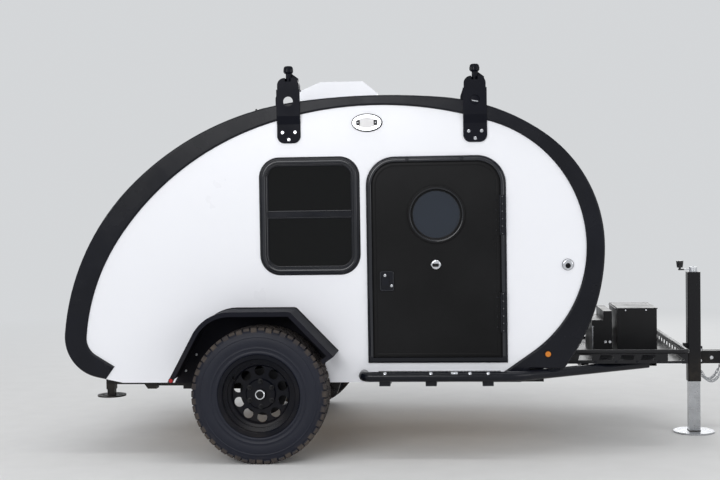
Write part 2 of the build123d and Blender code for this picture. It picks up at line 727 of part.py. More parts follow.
def tyre():
    """A tyre of flat facets: sidewalls, a row of lugs round each shoulder, and the hollow inside."""
    half = TYRE_WIDTH / 2
    bead = BEAD_RADIUS + SNUG
    # Radius, then distance from the wheel's middle
    wall = [(bead, half - 16), (240, half - 8), (292, half)]
    shoulder = (343, half - 7)
    lug = (TYRE_RADIUS - 3, half - 14)
    groove = (TYRE_RADIUS - LUG_DEPTH, half - 20)
    crown = (TYRE_RADIUS, 0)
    hollow = [(bead, half - 32), (270, half - 16), (345, half - 34), (TYRE_RADIUS - 18, 0)]
    pitch = 360 / LUGS
    lug_turn = pitch * LUG_SHARE
    reach = 1 / cos(radians(lug_turn / 2))

    def facet(hand, *corners):
        points = []
        for (radius, out), turn in corners:
            along = reach * radius * cos(radians(turn))
            up = reach * radius * sin(radians(turn))
            points.append((WHEEL_X + along, hand * out - WHEEL_CENTRE_Y, WHEEL_Z + up))
        return Face(Wire.make_polygon(points))

    smooth = list(zip(wall, wall[1:])) + list(zip(hollow, hollow[1:])) + [(wall[0], hollow[0])]
    faces = []
    for i in range(LUGS):
        # A lug from a to b and a groove from b to c; the first lug stands on the ground
        a = i * pitch - 90 - lug_turn / 2
        b = a + lug_turn
        c = a + pitch
        for hand in (-1, 1):
            for low, high in smooth:
                faces.append(facet(hand, (low, a), (low, c), (high, c), (high, a)))
            faces.append(facet(hand, (wall[-1], a), (wall[-1], c), (shoulder, b)))
            faces.append(facet(hand, (wall[-1], a), (shoulder, b), (shoulder, a)))
            faces.append(facet(hand, (wall[-1], c), (shoulder, c), (shoulder, b)))
            for low, high, start, end in (
                    (shoulder, lug, a, b), (lug, crown, a, b),
                    (shoulder, groove, b, c), (groove, crown, b, c)):
                faces.append(facet(hand, (low, start), (low, end), (high, end), (high, start)))
            for turn in (a, b):
                faces.append(facet(hand, (shoulder, turn), (lug, turn), (crown, turn), (groove, turn)))
    return Solid(Shell(faces))


def wheel_point(radius, angle):
    """A place in side view round the wheel's middle."""
    return WHEEL_X + radius * cos(radians(angle)), WHEEL_Z + radius * sin(radians(angle))


def wheels():
    """Tyre, steel wheel and hub with its drum, on both sides."""
    right = tyre()
    save("tyre_right", right)
    save("tyre_left", mirror(right, about=Plane.XZ))
    # Distances out are positive towards the wheel's outer face
    sheet = 6
    seat = BEAD_RADIUS - sheet
    half = RIM_WIDTH / 2
    well = RIM_WELL_RADIUS
    rim_points = [
        (FLANGE_RADIUS, half - 5), (FLANGE_RADIUS, half), (seat + 4, half - 1), (seat, half - 6),
        (seat, half - 28), (well, half - 36), (well, 56 - half), (seat, 46 - half), (seat, 2 - half),
        (FLANGE_RADIUS, -half), (FLANGE_RADIUS, 5 - half), (BEAD_RADIUS, 8 - half),
        (BEAD_RADIUS, 50 - half), (well + sheet, 60 - half), (well + sheet, half - 32),
        (BEAD_RADIUS, half - 24), (BEAD_RADIUS, half - 8), (FLANGE_RADIUS, half - 5),
    ]
    barrel = wheel_at(make_face(Polyline(*rim_points)))
    disc_points = [
        (30, 32), (HUB_RADIUS, 32), (HUB_RADIUS + 7, 24), (DISC_RADIUS - 5, 28), (DISC_RADIUS, 42),
        (DISC_RADIUS + 5, 48), (RIM_WELL_RADIUS + 2, 54), (RIM_WELL_RADIUS + 2, 46), (DISC_RADIUS + 8, 40),
        (DISC_RADIUS, 20), (HUB_RADIUS + 7, 16), (HUB_RADIUS - 4, 24), (30, 24), (30, 32),
    ]
    disc = wheel_at(make_face(Polyline(*disc_points)))
    rim = barrel + disc
    for i in range(RIM_HOLES):
        x, z = wheel_point(RIM_HOLE_CIRCLE, 360 / RIM_HOLES * i + RIM_HOLE_TURN - 90)
        rim -= side(Pos(x, z) * Circle(RIM_HOLE_RADIUS), WHEEL_CENTRE_Y, FAR)
    save("rim_right", rim)
    save("rim_left", mirror(rim, about=Plane.XZ))
    bore = SPINDLE_RADIUS + RUNNING_FIT
    hub_points = [
        (bore, -122), (32, -122), (32, -110), (DRUM_RADIUS, -110), (DRUM_RADIUS, -60), (60, -60),
        (60, 24), (29.9, 24), (29.9, 38), (27, 41), (27, 58), (24, 61), (20, 58), (0, 58), (0, 48),
        (bore, 48),
        (bore, -122),
    ]
    hub = wheel_at(make_face(Polyline(*hub_points)))
    for i in range(STUDS):
        x, z = wheel_point(STUD_CIRCLE, 360 / STUDS * (i + 0.5))
        nut = side(Pos(x, z) * RegularPolygon(11, 6), WHEEL_CENTRE_Y + 32, WHEEL_CENTRE_Y + 50)
        hub = Compound(children=hub.solids() + nut.solids())
    save("hub_right", hub)
    save("hub_left", mirror(hub, about=Plane.XZ))


def suspension():
    """Rails under the chassis and trailing arms with their spindles."""
    top = FRAME_LOW
    low = FRAME_LOW - SUSPENSION_DEPTH
    pivot_low = FRAME_LOW - SUSPENSION_PIVOT_DEPTH
    back = SUSPENSION_BACK_X
    front = SUSPENSION_FRONT_X
    notch_back, notch_front, notch_rise = SUSPENSION_NOTCH
    face = make_face(Polyline(
        (back, top), (back + 28, low), (back + notch_back, low), (back + notch_back, low + notch_rise),
        (back + notch_front, low + notch_rise), (back + notch_front, low), (front - 131, low),
        (front - 111, pivot_low), (front - 24, pivot_low), (front, top), (back, top)))
    save("suspension_rails", both(side(face, SUSPENSION_OUT - SUSPENSION_WIDTH, SUSPENSION_OUT)))
    ends = [Pos(ARM_PIVOT_X, ARM_PIVOT_Z) * Circle(24), Pos(WHEEL_X, WHEEL_Z) * Circle(28)]
    hull = make_face(make_hull(ends[0].edges() + ends[1].edges()))
    arm = side(hull, ARM_IN, ARM_OUT)
    length = WHEEL_CENTRE_Y + 46 - ARM_OUT
    spindle_y = ARM_OUT + length / 2
    arm += Pos(WHEEL_X, -spindle_y, WHEEL_Z) * Rot(90, 0, 0) * Cylinder(SPINDLE_RADIUS, length)
    pin_length = ARM_OUT + 8 - SUSPENSION_OUT
    pin_y = SUSPENSION_OUT + pin_length / 2
    arm += Pos(ARM_PIVOT_X, -pin_y, ARM_PIVOT_Z) * Rot(90, 0, 0) * Cylinder(16, pin_length)
    save("trailing_arms", both(arm))


def fenders():
    """Bent sheet over each wheel, with an outer lip and a back plate on the wall."""
    knee_back_x, knee_back_radius = FENDER_KNEE_BACK
    knee_front_x, knee_front_radius = FENDER_KNEE_FRONT
    back_x, back_z = FENDER_BACK
    slope = (FENDER_TOP - back_z) / (knee_back_x - back_x)
    foot_x = back_x - (back_z - BODY_BOTTOM) / slope
    outline = [
        (foot_x, BODY_BOTTOM), (knee_back_x, FENDER_TOP), (knee_front_x, FENDER_TOP), FENDER_TIP,
        FENDER_RETURN, (FENDER_RETURN[0] - 30, BODY_BOTTOM), (foot_x, BODY_BOTTOM),
    ]
    face = make_face(Polyline(*outline))
    knees = face.vertices().sort_by(Axis.Y)[-2:].sort_by(Axis.X)
    face = fillet(knees[0], knee_back_radius)
    face = fillet(face.vertices().sort_by(Axis.Y)[-2:].sort_by(Axis.X)[-1], knee_front_radius)
    plate = side(face, HALF_WIDTH, HALF_WIDTH + FENDER_THICK)
    # Only the part over the wheel is kept of the cover
    keep = make_face(Polyline(
        (foot_x - 50, back_z), (WHEEL_X, back_z), (WHEEL_X, FENDER_RETURN[1] - 60), FENDER_RETURN,
        (FENDER_TIP[0] + 5, FENDER_TIP[1]), (FENDER_TIP[0] + 5, FENDER_TOP + 50),
        (foot_x - 50, FENDER_TOP + 50),
        (foot_x - 50, back_z)))
    sheet = side((face - offset(face, -FENDER_THICK)) & keep, HALF_WIDTH, FENDER_OUT)
    lip = side((face - offset(face, -FENDER_LIP)) & keep, FENDER_OUT - FENDER_THICK, FENDER_OUT)
    wheel_room = Pos(WHEEL_X, WHEEL_Z) * Circle(TYRE_RADIUS + TYRE_CLEARANCE)
    cover = sheet + lip - side(wheel_room, HALF_WIDTH + FENDER_THICK, FENDER_OUT + 1)
    fender = (plate + cover).solids().sort_by(SortBy.VOLUME)[-1]
    save("fenders", both(fender))


def doors():
    """Frame in the wall, hinged slab with its porthole, glass, handle and grab."""
    frame = side(door_outer(), INSIDE, DOOR_FRAME_FACE)
    frame = fillet(frame.faces().sort_by(Axis.Y)[0].edges(), DOOR_FRAME_ROUND)
    frame -= side(door_inset(DOOR_BAND), INSIDE - 1, DOOR_FRAME_FACE + 1)
    save("door_frames", both(frame))
    slab = side(door_inset(DOOR_BAND + GAP), DOOR_FACE - WALL, DOOR_FACE)
    porthole = Pos(PORTHOLE_X, PORTHOLE_Z)
    ring = side(porthole * Circle(PORTHOLE_RING), DOOR_FACE, DOOR_FACE + RING_PROUD)
    slab += fillet(ring.edges().sort_by(Axis.Y)[0], RING_PROUD / 2)
    slab -= side(porthole * Circle(PORTHOLE_GLASS), DOOR_FACE - WALL - 1, DOOR_FACE + RING_PROUD + 1)
    flare = Pos(PORTHOLE_X, -DOOR_FACE - RING_PROUD + RING_FLARE / 2, PORTHOLE_Z) * Rot(90, 0, 0)
    slab -= flare * Cone(PORTHOLE_GLASS, PORTHOLE_GLASS + RING_FLARE, RING_FLARE)
    for z in HINGES_Z:
        z0 = z - HINGE_LENGTH / 2
        z1 = z + HINGE_LENGTH / 2
        riser_x = DOOR_HINGE_X - DOOR_PIN_RADIUS - PIN_FIT
        slab += block(riser_x - 5, riser_x, -DOOR_HINGE_Y, -DOOR_FACE, z0, z1)
        slab += block(riser_x - 30, riser_x, -DOOR_FACE - 3, -DOOR_FACE, z0, z1)
    save("door_right", slab)
    save("door_left", mirror(slab, about=Plane.XZ))
    pane_out = DOOR_FACE - 10
    pane = side(Pos(PORTHOLE_X, PORTHOLE_Z) * Circle(PORTHOLE_GLASS), pane_out - GLASS, pane_out)
    save("door_glass_right", pane)
    save("door_glass_left", mirror(pane, about=Plane.XZ))
    width, height = HANDLE_SIZE
    plate = side(Pos(HANDLE_X, HANDLE_Z) * RectangleRounded(width, height, 10), DOOR_FACE, DOOR_FACE + 8)
    plate -= side(Pos(HANDLE_X - 8, HANDLE_Z - 8) * RectangleRounded(44, 70, 8), DOOR_FACE + 3, DOOR_FACE + 9)
    face = Pos(HANDLE_X - 8, HANDLE_Z - 2) * RectangleRounded(40, 50, 6)
    paddle = side(face, DOOR_FACE + 3, DOOR_FACE + 12)
    handle = plate + paddle
    for dx, dz in LOCKS:
        handle += side(Pos(HANDLE_X + dx, HANDLE_Z + dz) * Circle(7), DOOR_FACE + 3, DOOR_FACE + 14)
    save("door_handle_right", handle)
    save("door_handle_left", mirror(handle, about=Plane.XZ))
    knob = side(Pos(GRAB_X, GRAB_Z) * Circle(GRAB_RADIUS), DOOR_FACE, DOOR_FACE + 16)
    knob = fillet(knob.edges().sort_by(Axis.Y)[0], 9)
    x0 = GRAB_X - GRAB_RADIUS
    x1 = GRAB_X + GRAB_RADIUS
    knob -= block(x0, x1, -DOOR_FACE - 20, -DOOR_FACE - 9, GRAB_Z - 5, GRAB_Z + 5)
    save("door_knob_right", knob)
    save("door_knob_left", mirror(knob, about=Plane.XZ))
    barrels = []
    for z in HINGES_Z:
        barrel = Pos(DOOR_HINGE_X, -DOOR_HINGE_Y, z) * Cylinder(DOOR_PIN_RADIUS, HINGE_LENGTH)
        leaf = block(DOOR_HINGE_X, DOOR_HINGE_X + 30, -DOOR_FRAME_FACE - 3, -DOOR_FRAME_FACE,
                     z - HINGE_LENGTH / 2, z + HINGE_LENGTH / 2)
        barrels += both(barrel + leaf).solids()
    save("door_hinges", Compound(children=barrels))


def windows():
    """Framed side windows with a bar across and tinted panes."""
    depth_in = INSIDE
    frame = side(window_inset(0), depth_in, HALF_WIDTH + WINDOW_PROUD)
    frame = fillet(frame.faces().sort_by(Axis.Y)[0].edges(), WINDOW_ROUND)
    frame -= side(window_inset(WINDOW_BAND), depth_in - 1, HALF_WIDTH + WINDOW_PROUD + 1)
    bar_face = rounded(WINDOW_BACK_X + 20, WINDOW_FRONT_X - 20, WINDOW_BAR_Z - 14, WINDOW_BAR_Z + 14, 2)
    frame += side(bar_face, HALF_WIDTH - 8, HALF_WIDTH + 4)
    save("window_frames", both(frame))
    pane_out = HALF_WIDTH - 8
    pane = side(window_inset(WINDOW_BAND), pane_out - GLASS, pane_out)
    save("window_glass", both(pane))


def sliders():
    """Tube beside each door, bent in to the tongue, with its step plate and brackets."""
    path = FilletPolyline(
        (SLIDER_BACK_X, -HALF_WIDTH - 1, SLIDER_Z), (SLIDER_BACK_X, -SLIDER_Y, SLIDER_Z),
        (SLIDER_BEND_X, -SLIDER_Y, SLIDER_Z), (SLIDER_END_X, SLIDER_END_IN - HALF_WIDTH, SLIDER_Z),
        radius=[SLIDER_BACK_BEND, SLIDER_BEND])
    start = Plane(origin=path @ 0, z_dir=path % 0)
    tube = sweep(start * Circle(SLIDER_RADIUS), path=path)
    front = OUTRIGGERS[-1][0] - OUTRIGGER_SIZE / 2
    tube = tube & block(-FAR, front, -FAR, FAR, -FAR, FAR)
    level = SLIDER_Z + STEP_RISE
    edge = SLIDER_Y - sqrt(SLIDER_RADIUS ** 2 - STEP_RISE ** 2)
    plate = block(STEP_BACK_X, STEP_FRONT_X, -edge, -HALF_WIDTH - BORDER_PROUD - 1, level - STEP_SHEET, level)
    save("step_plates", both(plate - tube))
    width, sheet = SLIDER_BRACKET
    for x in STEP_BRACKETS_X:
        web_y = -SLIDER_Y + SLIDER_BRACKET_IN
        x0 = x - width / 2
        x1 = x + width / 2
        tube += block(x0, x1, web_y - sheet, -INSIDE + 20, FRAME_LOW - sheet, FRAME_LOW)
        tube += block(x0, x1, web_y - sheet, web_y, FRAME_LOW - sheet, SLIDER_Z)
    save("rock_sliders", both(tube))


def rack_tower(x, low):
    """One tower: a plate stepped out over the border, a leg behind it, and a head with its knob."""
    half = RACK_WIDTH / 2
    seam = low + RACK_HEIGHT
    face_y = HALF_WIDTH + BORDER_PROUD
    out = face_y + RACK_PLATE
    back = out - RACK_DEPTH
    step_low = low + RACK_JOGGLE[0]
    step_high = low + RACK_JOGGLE[1]
    # Section across the trailer: up the wall, out over the border, up and in over the roof's edge
    section = make_face(Polyline(
        (-HALF_WIDTH, low), (-HALF_WIDTH - RACK_PLATE, low), (-HALF_WIDTH - RACK_PLATE, step_low),
        (-out, step_high), (-out, seam), (-back, seam),
        (-back, seam - RACK_PLATE), (-face_y, seam - RACK_PLATE),
        (-face_y, step_high), (-HALF_WIDTH, step_low), (-HALF_WIDTH, low)))
    plate = extrude(Plane.YZ.offset(x - half) * section, amount=RACK_WIDTH)
    view = make_face(Polyline(
        (x - half, low), (x + half, low), (x + half, seam), (x - half, seam), (x - half, low)))
    view = fillet(view.vertices().sort_by(Axis.Y)[:2], RACK_CORNER)
    plate = plate & side(view, 0, FAR)
    plate -= side(Pos(x, seam - RACK_HOLE_DROP) * Circle(RACK_HOLE_RADIUS), face_y - 1, FAR)
    lean = RACK_LEG_LEAN
    leg = make_face(Polyline(
        (x - half - lean, low), (x + half - lean, low), (x + half - lean, seam), (x - half, seam),
        (x - half - lean, seam - 3 * lean), (x - half - lean, low)))
    leg -= make_face(Polyline(
        (x - half + lean, low), (x + half - 3 * lean, low), (x + half - 3 * lean, seam - 2 * lean),
        (x - half + lean, seam - 2 * lean), (x - half + lean, low)))
    leg = side(leg, back, back + RACK_PLATE)
    head = rounded_top(x - RACK_HEAD_HALF, x + RACK_HEAD_HALF, seam, seam + RACK_HEAD_RISE, RACK_CORNER)
    head = side(head, back, out - 3)
    stud_y = (out + back) / 2
    head -= block(x - RACK_STUD_RADIUS - 2, x + RACK_STUD_RADIUS + 2, -out, RACK_STUD_RADIUS + 2 - stud_y,
                  seam + RACK_HEAD_RISE - 20, FAR)
    fin = make_face(Polyline(
        (x - RACK_STUD_RADIUS, seam), (x + RACK_HEAD_HALF - 4, seam),
        (x + RACK_HEAD_HALF - 8, seam + RACK_HEAD_RISE),
        (x + RACK_STUD_RADIUS, seam + RACK_FIN_RISE), (x - RACK_STUD_RADIUS, seam + RACK_FIN_RISE),
        (x - RACK_STUD_RADIUS, seam)))
    fin = side(fin, back, stud_y - RACK_STUD_RADIUS - 2)
    knob_low = seam + RACK_KNOB_RISE - RACK_KNOB_HEIGHT
    stud = Pos(x, -stud_y, (seam + knob_low) / 2) * Cylinder(RACK_STUD_RADIUS, knob_low - seam)
    knob_middle = seam + RACK_KNOB_RISE - RACK_KNOB_HEIGHT / 2
    knob = Pos(x, -stud_y, knob_middle) * Cylinder(RACK_KNOB_RADIUS, RACK_KNOB_HEIGHT)
    knob = fillet(knob.edges().sort_by(Axis.Z)[-1], RACK_KNOB_RADIUS / 2)
    knob = chamfer(knob.edges().sort_by(Axis.Z)[0], RACK_KNOB_RADIUS / 4)
    tower = (plate + leg + head + fin + stud + knob) - BORDER_SOLID - BODY_SOLID
    return tower.solids().sort_by(SortBy.VOLUME)[-1]


def racks():
    """The four towers of the roof rack, without bars."""
    pieces = []
    for x, low in RACKS:
        pieces += both(rack_tower(x, low)).solids()
    save("rack_mounts", Compound(children=pieces))


def vent():
    """Roof vent: a frame seated on the roof and a lid hinged at the front."""
    length, width = VENT_BASE
    half = length / 2
    hole = VENT_HOLE / 2
    front = VENT_X + half
    base = block(VENT_X - half, front, -width / 2, width / 2, NOSE_Z, VENT_BASE_TOP)
    base -= block(VENT_X - hole, VENT_X + hole, -hole, hole, NOSE_Z, FAR)
    base = base - BODY_SOLID
    for y in (-VENT_KNUCKLES_Y, VENT_KNUCKLES_Y):
        y0 = y - VENT_KNUCKLE / 2
        y1 = y + VENT_KNUCKLE / 2
        end = VENT_HINGE_X + VENT_PIN_RADIUS + 1
        base += block(front, end, y0, y1, VENT_BASE_TOP - 25, VENT_BASE_TOP - 2)
        base += block(VENT_HINGE_X - VENT_PIN_RADIUS, end, y0, y1, VENT_BASE_TOP - 10, VENT_HINGE_Z + 6)
    pin = Rot(90, 0, 0) * Cylinder(VENT_PIN_RADIUS, 2 * VENT_HINGE_HALF)
    base += Pos(VENT_HINGE_X, 0, VENT_HINGE_Z) * pin
    save("vent_base", base)
    low = VENT_BASE_TOP + SNUG
    sheet = VENT_LID_SHEET
    x0 = VENT_X - half - 2
    x1 = front + 2
    flat_back, flat_front = VENT_LID_FLAT
    shoulder = low + VENT_LID_RIM
    profile = make_face(Polyline(
        (x0, low), (x1, low), (x1, shoulder), (flat_front, VENT_LID_TOP), (flat_back, VENT_LID_TOP),
        (x0, shoulder),
        (x0, low)))
    lid = across(profile, width / 2 + 2)
    hollow = make_face(Polyline(
        (x0 + sheet, low - 1), (x1 - sheet, low - 1), (x1 - sheet, shoulder - 2),
        (flat_front - 4, VENT_LID_TOP - sheet),
        (flat_back + 2, VENT_LID_TOP - sheet), (x0 + sheet, shoulder - 2), (x0 + sheet, low - 1)))
    lid -= across(hollow, width / 2 + 2 - sheet)
    knuckle = VENT_HINGE_X - VENT_PIN_RADIUS - PIN_FIT
    leaf_half = VENT_KNUCKLES_Y - VENT_KNUCKLE - 10
    lid += block(x1, knuckle, -leaf_half, leaf_half, low + 1, low + 7)
    save("vent_lid", lid)


def lamps():
    """Porch, courtesy, marker and tail lamps, and the blank plate."""
    width, height = PORCH_SIZE
    face = Pos(PORCH_X, PORCH_Z) * Ellipse(width / 2, height / 2)
    lens_face = Pos(PORCH_X, PORCH_Z) * Ellipse(width / 2 - 22, height / 2 - 16)
    bezel = side(face, HALF_WIDTH, HALF_WIDTH + 14) - side(lens_face, HALF_WIDTH - 1, HALF_WIDTH + 15)
    save("porch_lenses", both(side(lens_face, HALF_WIDTH, HALF_WIDTH + 18)))
    courtesy = side(Pos(COURTESY_X, COURTESY_Z) * Circle(COURTESY_RADIUS), HALF_WIDTH, HALF_WIDTH + 14)
    courtesy = fillet(courtesy.edges().sort_by(Axis.Y)[0], 8)
    save("chrome_lamps", both(Compound(children=bezel.solids() + courtesy.solids())))
    x, z, radius = AMBER
    y0 = HALF_WIDTH + BORDER_PROUD
    save("amber_markers", both(side(Pos(x, z) * Circle(radius), y0, y0 + 12)))
    x, z, radius = RED
    marker = side(Pos(x, z) * Circle(radius), FENDER_OUT, FENDER_OUT + 5)
    width, height = TAIL_LAMP_SIZE
    lamp = block(REAR_X - TAIL_LAMP_PROUD, REAR_X + 30, -width / 2, width / 2, -height / 2, height / 2)
    lamp = fillet(lamp.edges().filter_by(Axis.X), height / 2 - 1)
    lamp = Pos(0, -TAIL_LAMP_Y, TAIL_LAMP_Z) * lamp - BODY_SOLID
    save("red_lamps", both(Compound(children=lamp.solids() + marker.solids())))
    width, height = PLATE_SIZE
    z = TAIL_LAMP_Z - 20
    half = width / 2 + 6
    holder = block(REAR_X - 8, REAR_X + 60, -half, half, z - height / 2 + 6, z + height / 2 - 8)
    save("plate_holder", holder - BODY_SOLID)


def stabilizers():
    """Telescopic legs in the rear corners, each tube on a bracket from the chassis."""
    half = STAB_TUBE / 2
    inner = half - STAB_TUBE_WALL
    tube = block(-half, half, -half, half, STAB_LOW, STAB_HIGH)
    tube -= block(-inner, inner, -inner, inner, STAB_LOW - 1, STAB_HIGH - 10)
    tube = Pos(STAB_X, -STAB_Y, 0) * tube
    arm_x = RAIL_BACK_X + RAIL_WIDTH
    arm = block(STAB_X + half, arm_x, -STAB_Y - 30, -STAB_Y + 30, FRAME_LOW - 30, FRAME_LOW)
    save("stabilizer_tubes", both(tube + arm))
    leg_half = inner - SLIDE_FIT
    leg = block(-leg_half, leg_half, -leg_half, leg_half, STAB_FOOT_Z + STAB_FOOT_THICK, STAB_HIGH - 20)
    foot = Pos(0, 0, STAB_FOOT_Z + STAB_FOOT_THICK / 2) * Cylinder(STAB_FOOT_RADIUS, STAB_FOOT_THICK)
    for i in range(6):
        foot -= Rot(0, 0, 60 * i) * Pos(STAB_FOOT_RADIUS * 0.65, 0, STAB_FOOT_Z) * Cylinder(12, 40)
    leg = Pos(STAB_X, -STAB_Y, 0) * (leg + foot)
    save("stabilizer_leg_right", leg)
    save("stabilizer_leg_left", mirror(leg, about=Plane.XZ))


side_walls()
borders()
shell()
hatch_hinge()
hatch_handle()
inside()
chassis()
coupler()
jack()
tongue_tray()
tongue_boxes()
wheels()
suspension()
fenders()
doors()
windows()
sliders()
racks()
vent()
lamps()
stabilizers()
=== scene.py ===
"""Looks of the teardrop trailer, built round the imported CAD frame. Metres; X forward, Y left, Z up."""

import math

import bmesh
import bpy
from mathutils import Matrix, Vector


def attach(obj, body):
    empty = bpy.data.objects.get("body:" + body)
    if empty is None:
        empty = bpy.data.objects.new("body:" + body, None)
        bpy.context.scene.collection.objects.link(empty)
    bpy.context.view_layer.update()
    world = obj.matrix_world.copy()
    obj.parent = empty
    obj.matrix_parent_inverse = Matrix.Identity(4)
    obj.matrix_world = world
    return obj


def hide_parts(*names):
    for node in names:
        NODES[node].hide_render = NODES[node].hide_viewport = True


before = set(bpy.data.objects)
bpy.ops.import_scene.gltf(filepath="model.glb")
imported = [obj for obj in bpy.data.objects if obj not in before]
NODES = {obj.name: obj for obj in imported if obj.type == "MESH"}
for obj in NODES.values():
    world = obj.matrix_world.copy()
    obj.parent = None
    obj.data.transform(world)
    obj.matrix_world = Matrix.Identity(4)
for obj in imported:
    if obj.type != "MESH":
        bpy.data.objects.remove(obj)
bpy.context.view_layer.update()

# Places repeated from the CAD model, in metres
WHEEL_X = -0.905
WHEEL_Z = 0.372
WHEEL_CENTRE_Y = 0.9375
SIDES = (("right", -1), ("left", 1))


def on_both_sides(dress):
    for side, sign in SIDES:
        dress(side, sign)


def new_object(name, data):
    """An object that is part of the scene."""
    made = bpy.data.objects.new(name, data)
    bpy.context.scene.collection.objects.link(made)
    return made


# Camera, light and floor

BACKGROUND = (0.66, 0.675, 0.69)
# Distances from the middle between which the floor fades into the background
FADE_START = 2.2
FADE_END = 9.0


def make_camera():
    """The photograph's view: its place and direction were fitted to the trailer's outline."""
    right = Vector((0.99608, 0.08712, -0.015157))
    up = Vector((0.01245, 0.03153, 0.999415))
    forward = Vector((-0.08756, 0.99569, -0.030321))
    turn = Matrix((right, up, -forward)).transposed()
    data = bpy.data.cameras.new("camera")
    data.lens = 60
    data.sensor_width = 36
    camera = new_object("camera", data)
    camera.matrix_world = Matrix.Translation((0.216, -7.4, 1.4)) @ turn.to_4x4()
    bpy.context.scene.camera = camera


def area_lamp(name, place, target, size, power):
    """A large soft lamp that faces a point."""
    data = bpy.data.lights.new(name, "AREA")
    data.shape = "RECTANGLE"
    data.size, data.size_y = size
    data.energy = power
    lamp = new_object(name, data)
    direction = Vector(target) - Vector(place)
    lamp.rotation_mode = "QUATERNION"
    lamp.location = place
    lamp.rotation_quaternion = direction.to_track_quat("-Z", "Y")


def seen_directly(tree):
    """1 where the camera, a mirror or glass looks, 0 for light that falls on surfaces."""
    path = tree.nodes.new("ShaderNodeLightPath")
    total = path.outputs["Is Camera Ray"]
    for name in ("Is Glossy Ray", "Is Transmission Ray"):
        add = tree.nodes.new("ShaderNodeMath")
        add.operation = "MAXIMUM"
        tree.links.new(total, add.inputs[0])
        tree.links.new(path.outputs[name], add.inputs[1])
        total = add.outputs[0]
    return total


def make_light():
    """Soft studio light from above and both sides, with a pale surround."""
    area_lamp("key", (-2.5, -7.5, 3.6), (0, 0, 0.9), (5, 3), 198)
    area_lamp("fill", (5.5, -4.5, 2.6), (0, 0, 0.9), (4, 3), 65)
    area_lamp("back", (0.5, 7.5, 3.6), (0, 0, 0.9), (6, 3), 170)
    area_lamp("top", (0, -1.5, 6.0), (0, -0.6, 0), (7, 0.7), 48)
    world = bpy.data.worlds.new("surround")
    bpy.context.scene.world = world
    world.use_nodes = True
    tree = world.node_tree
    tree.nodes.clear()
    out = tree.nodes.new("ShaderNodeOutputWorld")
    light = tree.nodes.new("ShaderNodeBackground")
    light.inputs["Color"].default_value = (0.965, 0.975, 1.0, 1)
    light.inputs["Strength"].default_value = 0.6
    seen = tree.nodes.new("ShaderNodeBackground")
    seen.inputs["Color"].default_value = (*BACKGROUND, 1)
    seen.inputs["Strength"].default_value = 1.0
    mix = tree.nodes.new("ShaderNodeMixShader")
    tree.links.new(seen_directly(tree), mix.inputs["Fac"])
    tree.links.new(light.outputs[0], mix.inputs[1])
    tree.links.new(seen.outputs[0], mix.inputs[2])
    tree.links.new(mix.outputs[0], out.inputs["Surface"])


def make_floor():
    """A plain pale floor, which fades into the background away from the wheels."""
    mesh = bpy.data.meshes.new("floor_sheet")
    far = 60
    mesh.from_pydata([(-far, -far, 0), (far, -far, 0), (far, far, 0), (-far, far, 0)], [], [(0, 1, 2, 3)])
    floor = new_object("floor_sheet", mesh)
    shader = Shader("floor_pale")
    length = shader.node("ShaderNodeVectorMath")
    length.operation = "LENGTH"
    shader.link(shader.coords, length.inputs[0])
    away = shader.remap(length.outputs["Value"], FADE_START, FADE_END, 0, 1)
    speckle = shader.remap(shader.noise(6, detail=5), 0.3, 0.7, 0, 1)
    shader.set(Base_Color=shader.blend_color((0.8, 0.8, 0.79), (0.77, 0.77, 0.76), speckle), Roughness=0.9)
    glow = shader.node("ShaderNodeEmission", Strength=1.0)
    glow.inputs["Color"].default_value = (*BACKGROUND, 1)
    mix = shader.node("ShaderNodeMixShader")
    shader.link(shader.multiply(seen_directly(shader.tree), away), mix.inputs["Fac"])
    shader.link(shader.bsdf.outputs[0], mix.inputs[1])
    shader.link(glow.outputs[0], mix.inputs[2])
    shader.link(mix.outputs[0], shader.tree.nodes["Material Output"].inputs["Surface"])
    floor.data.materials.append(shader.material)


# Materials

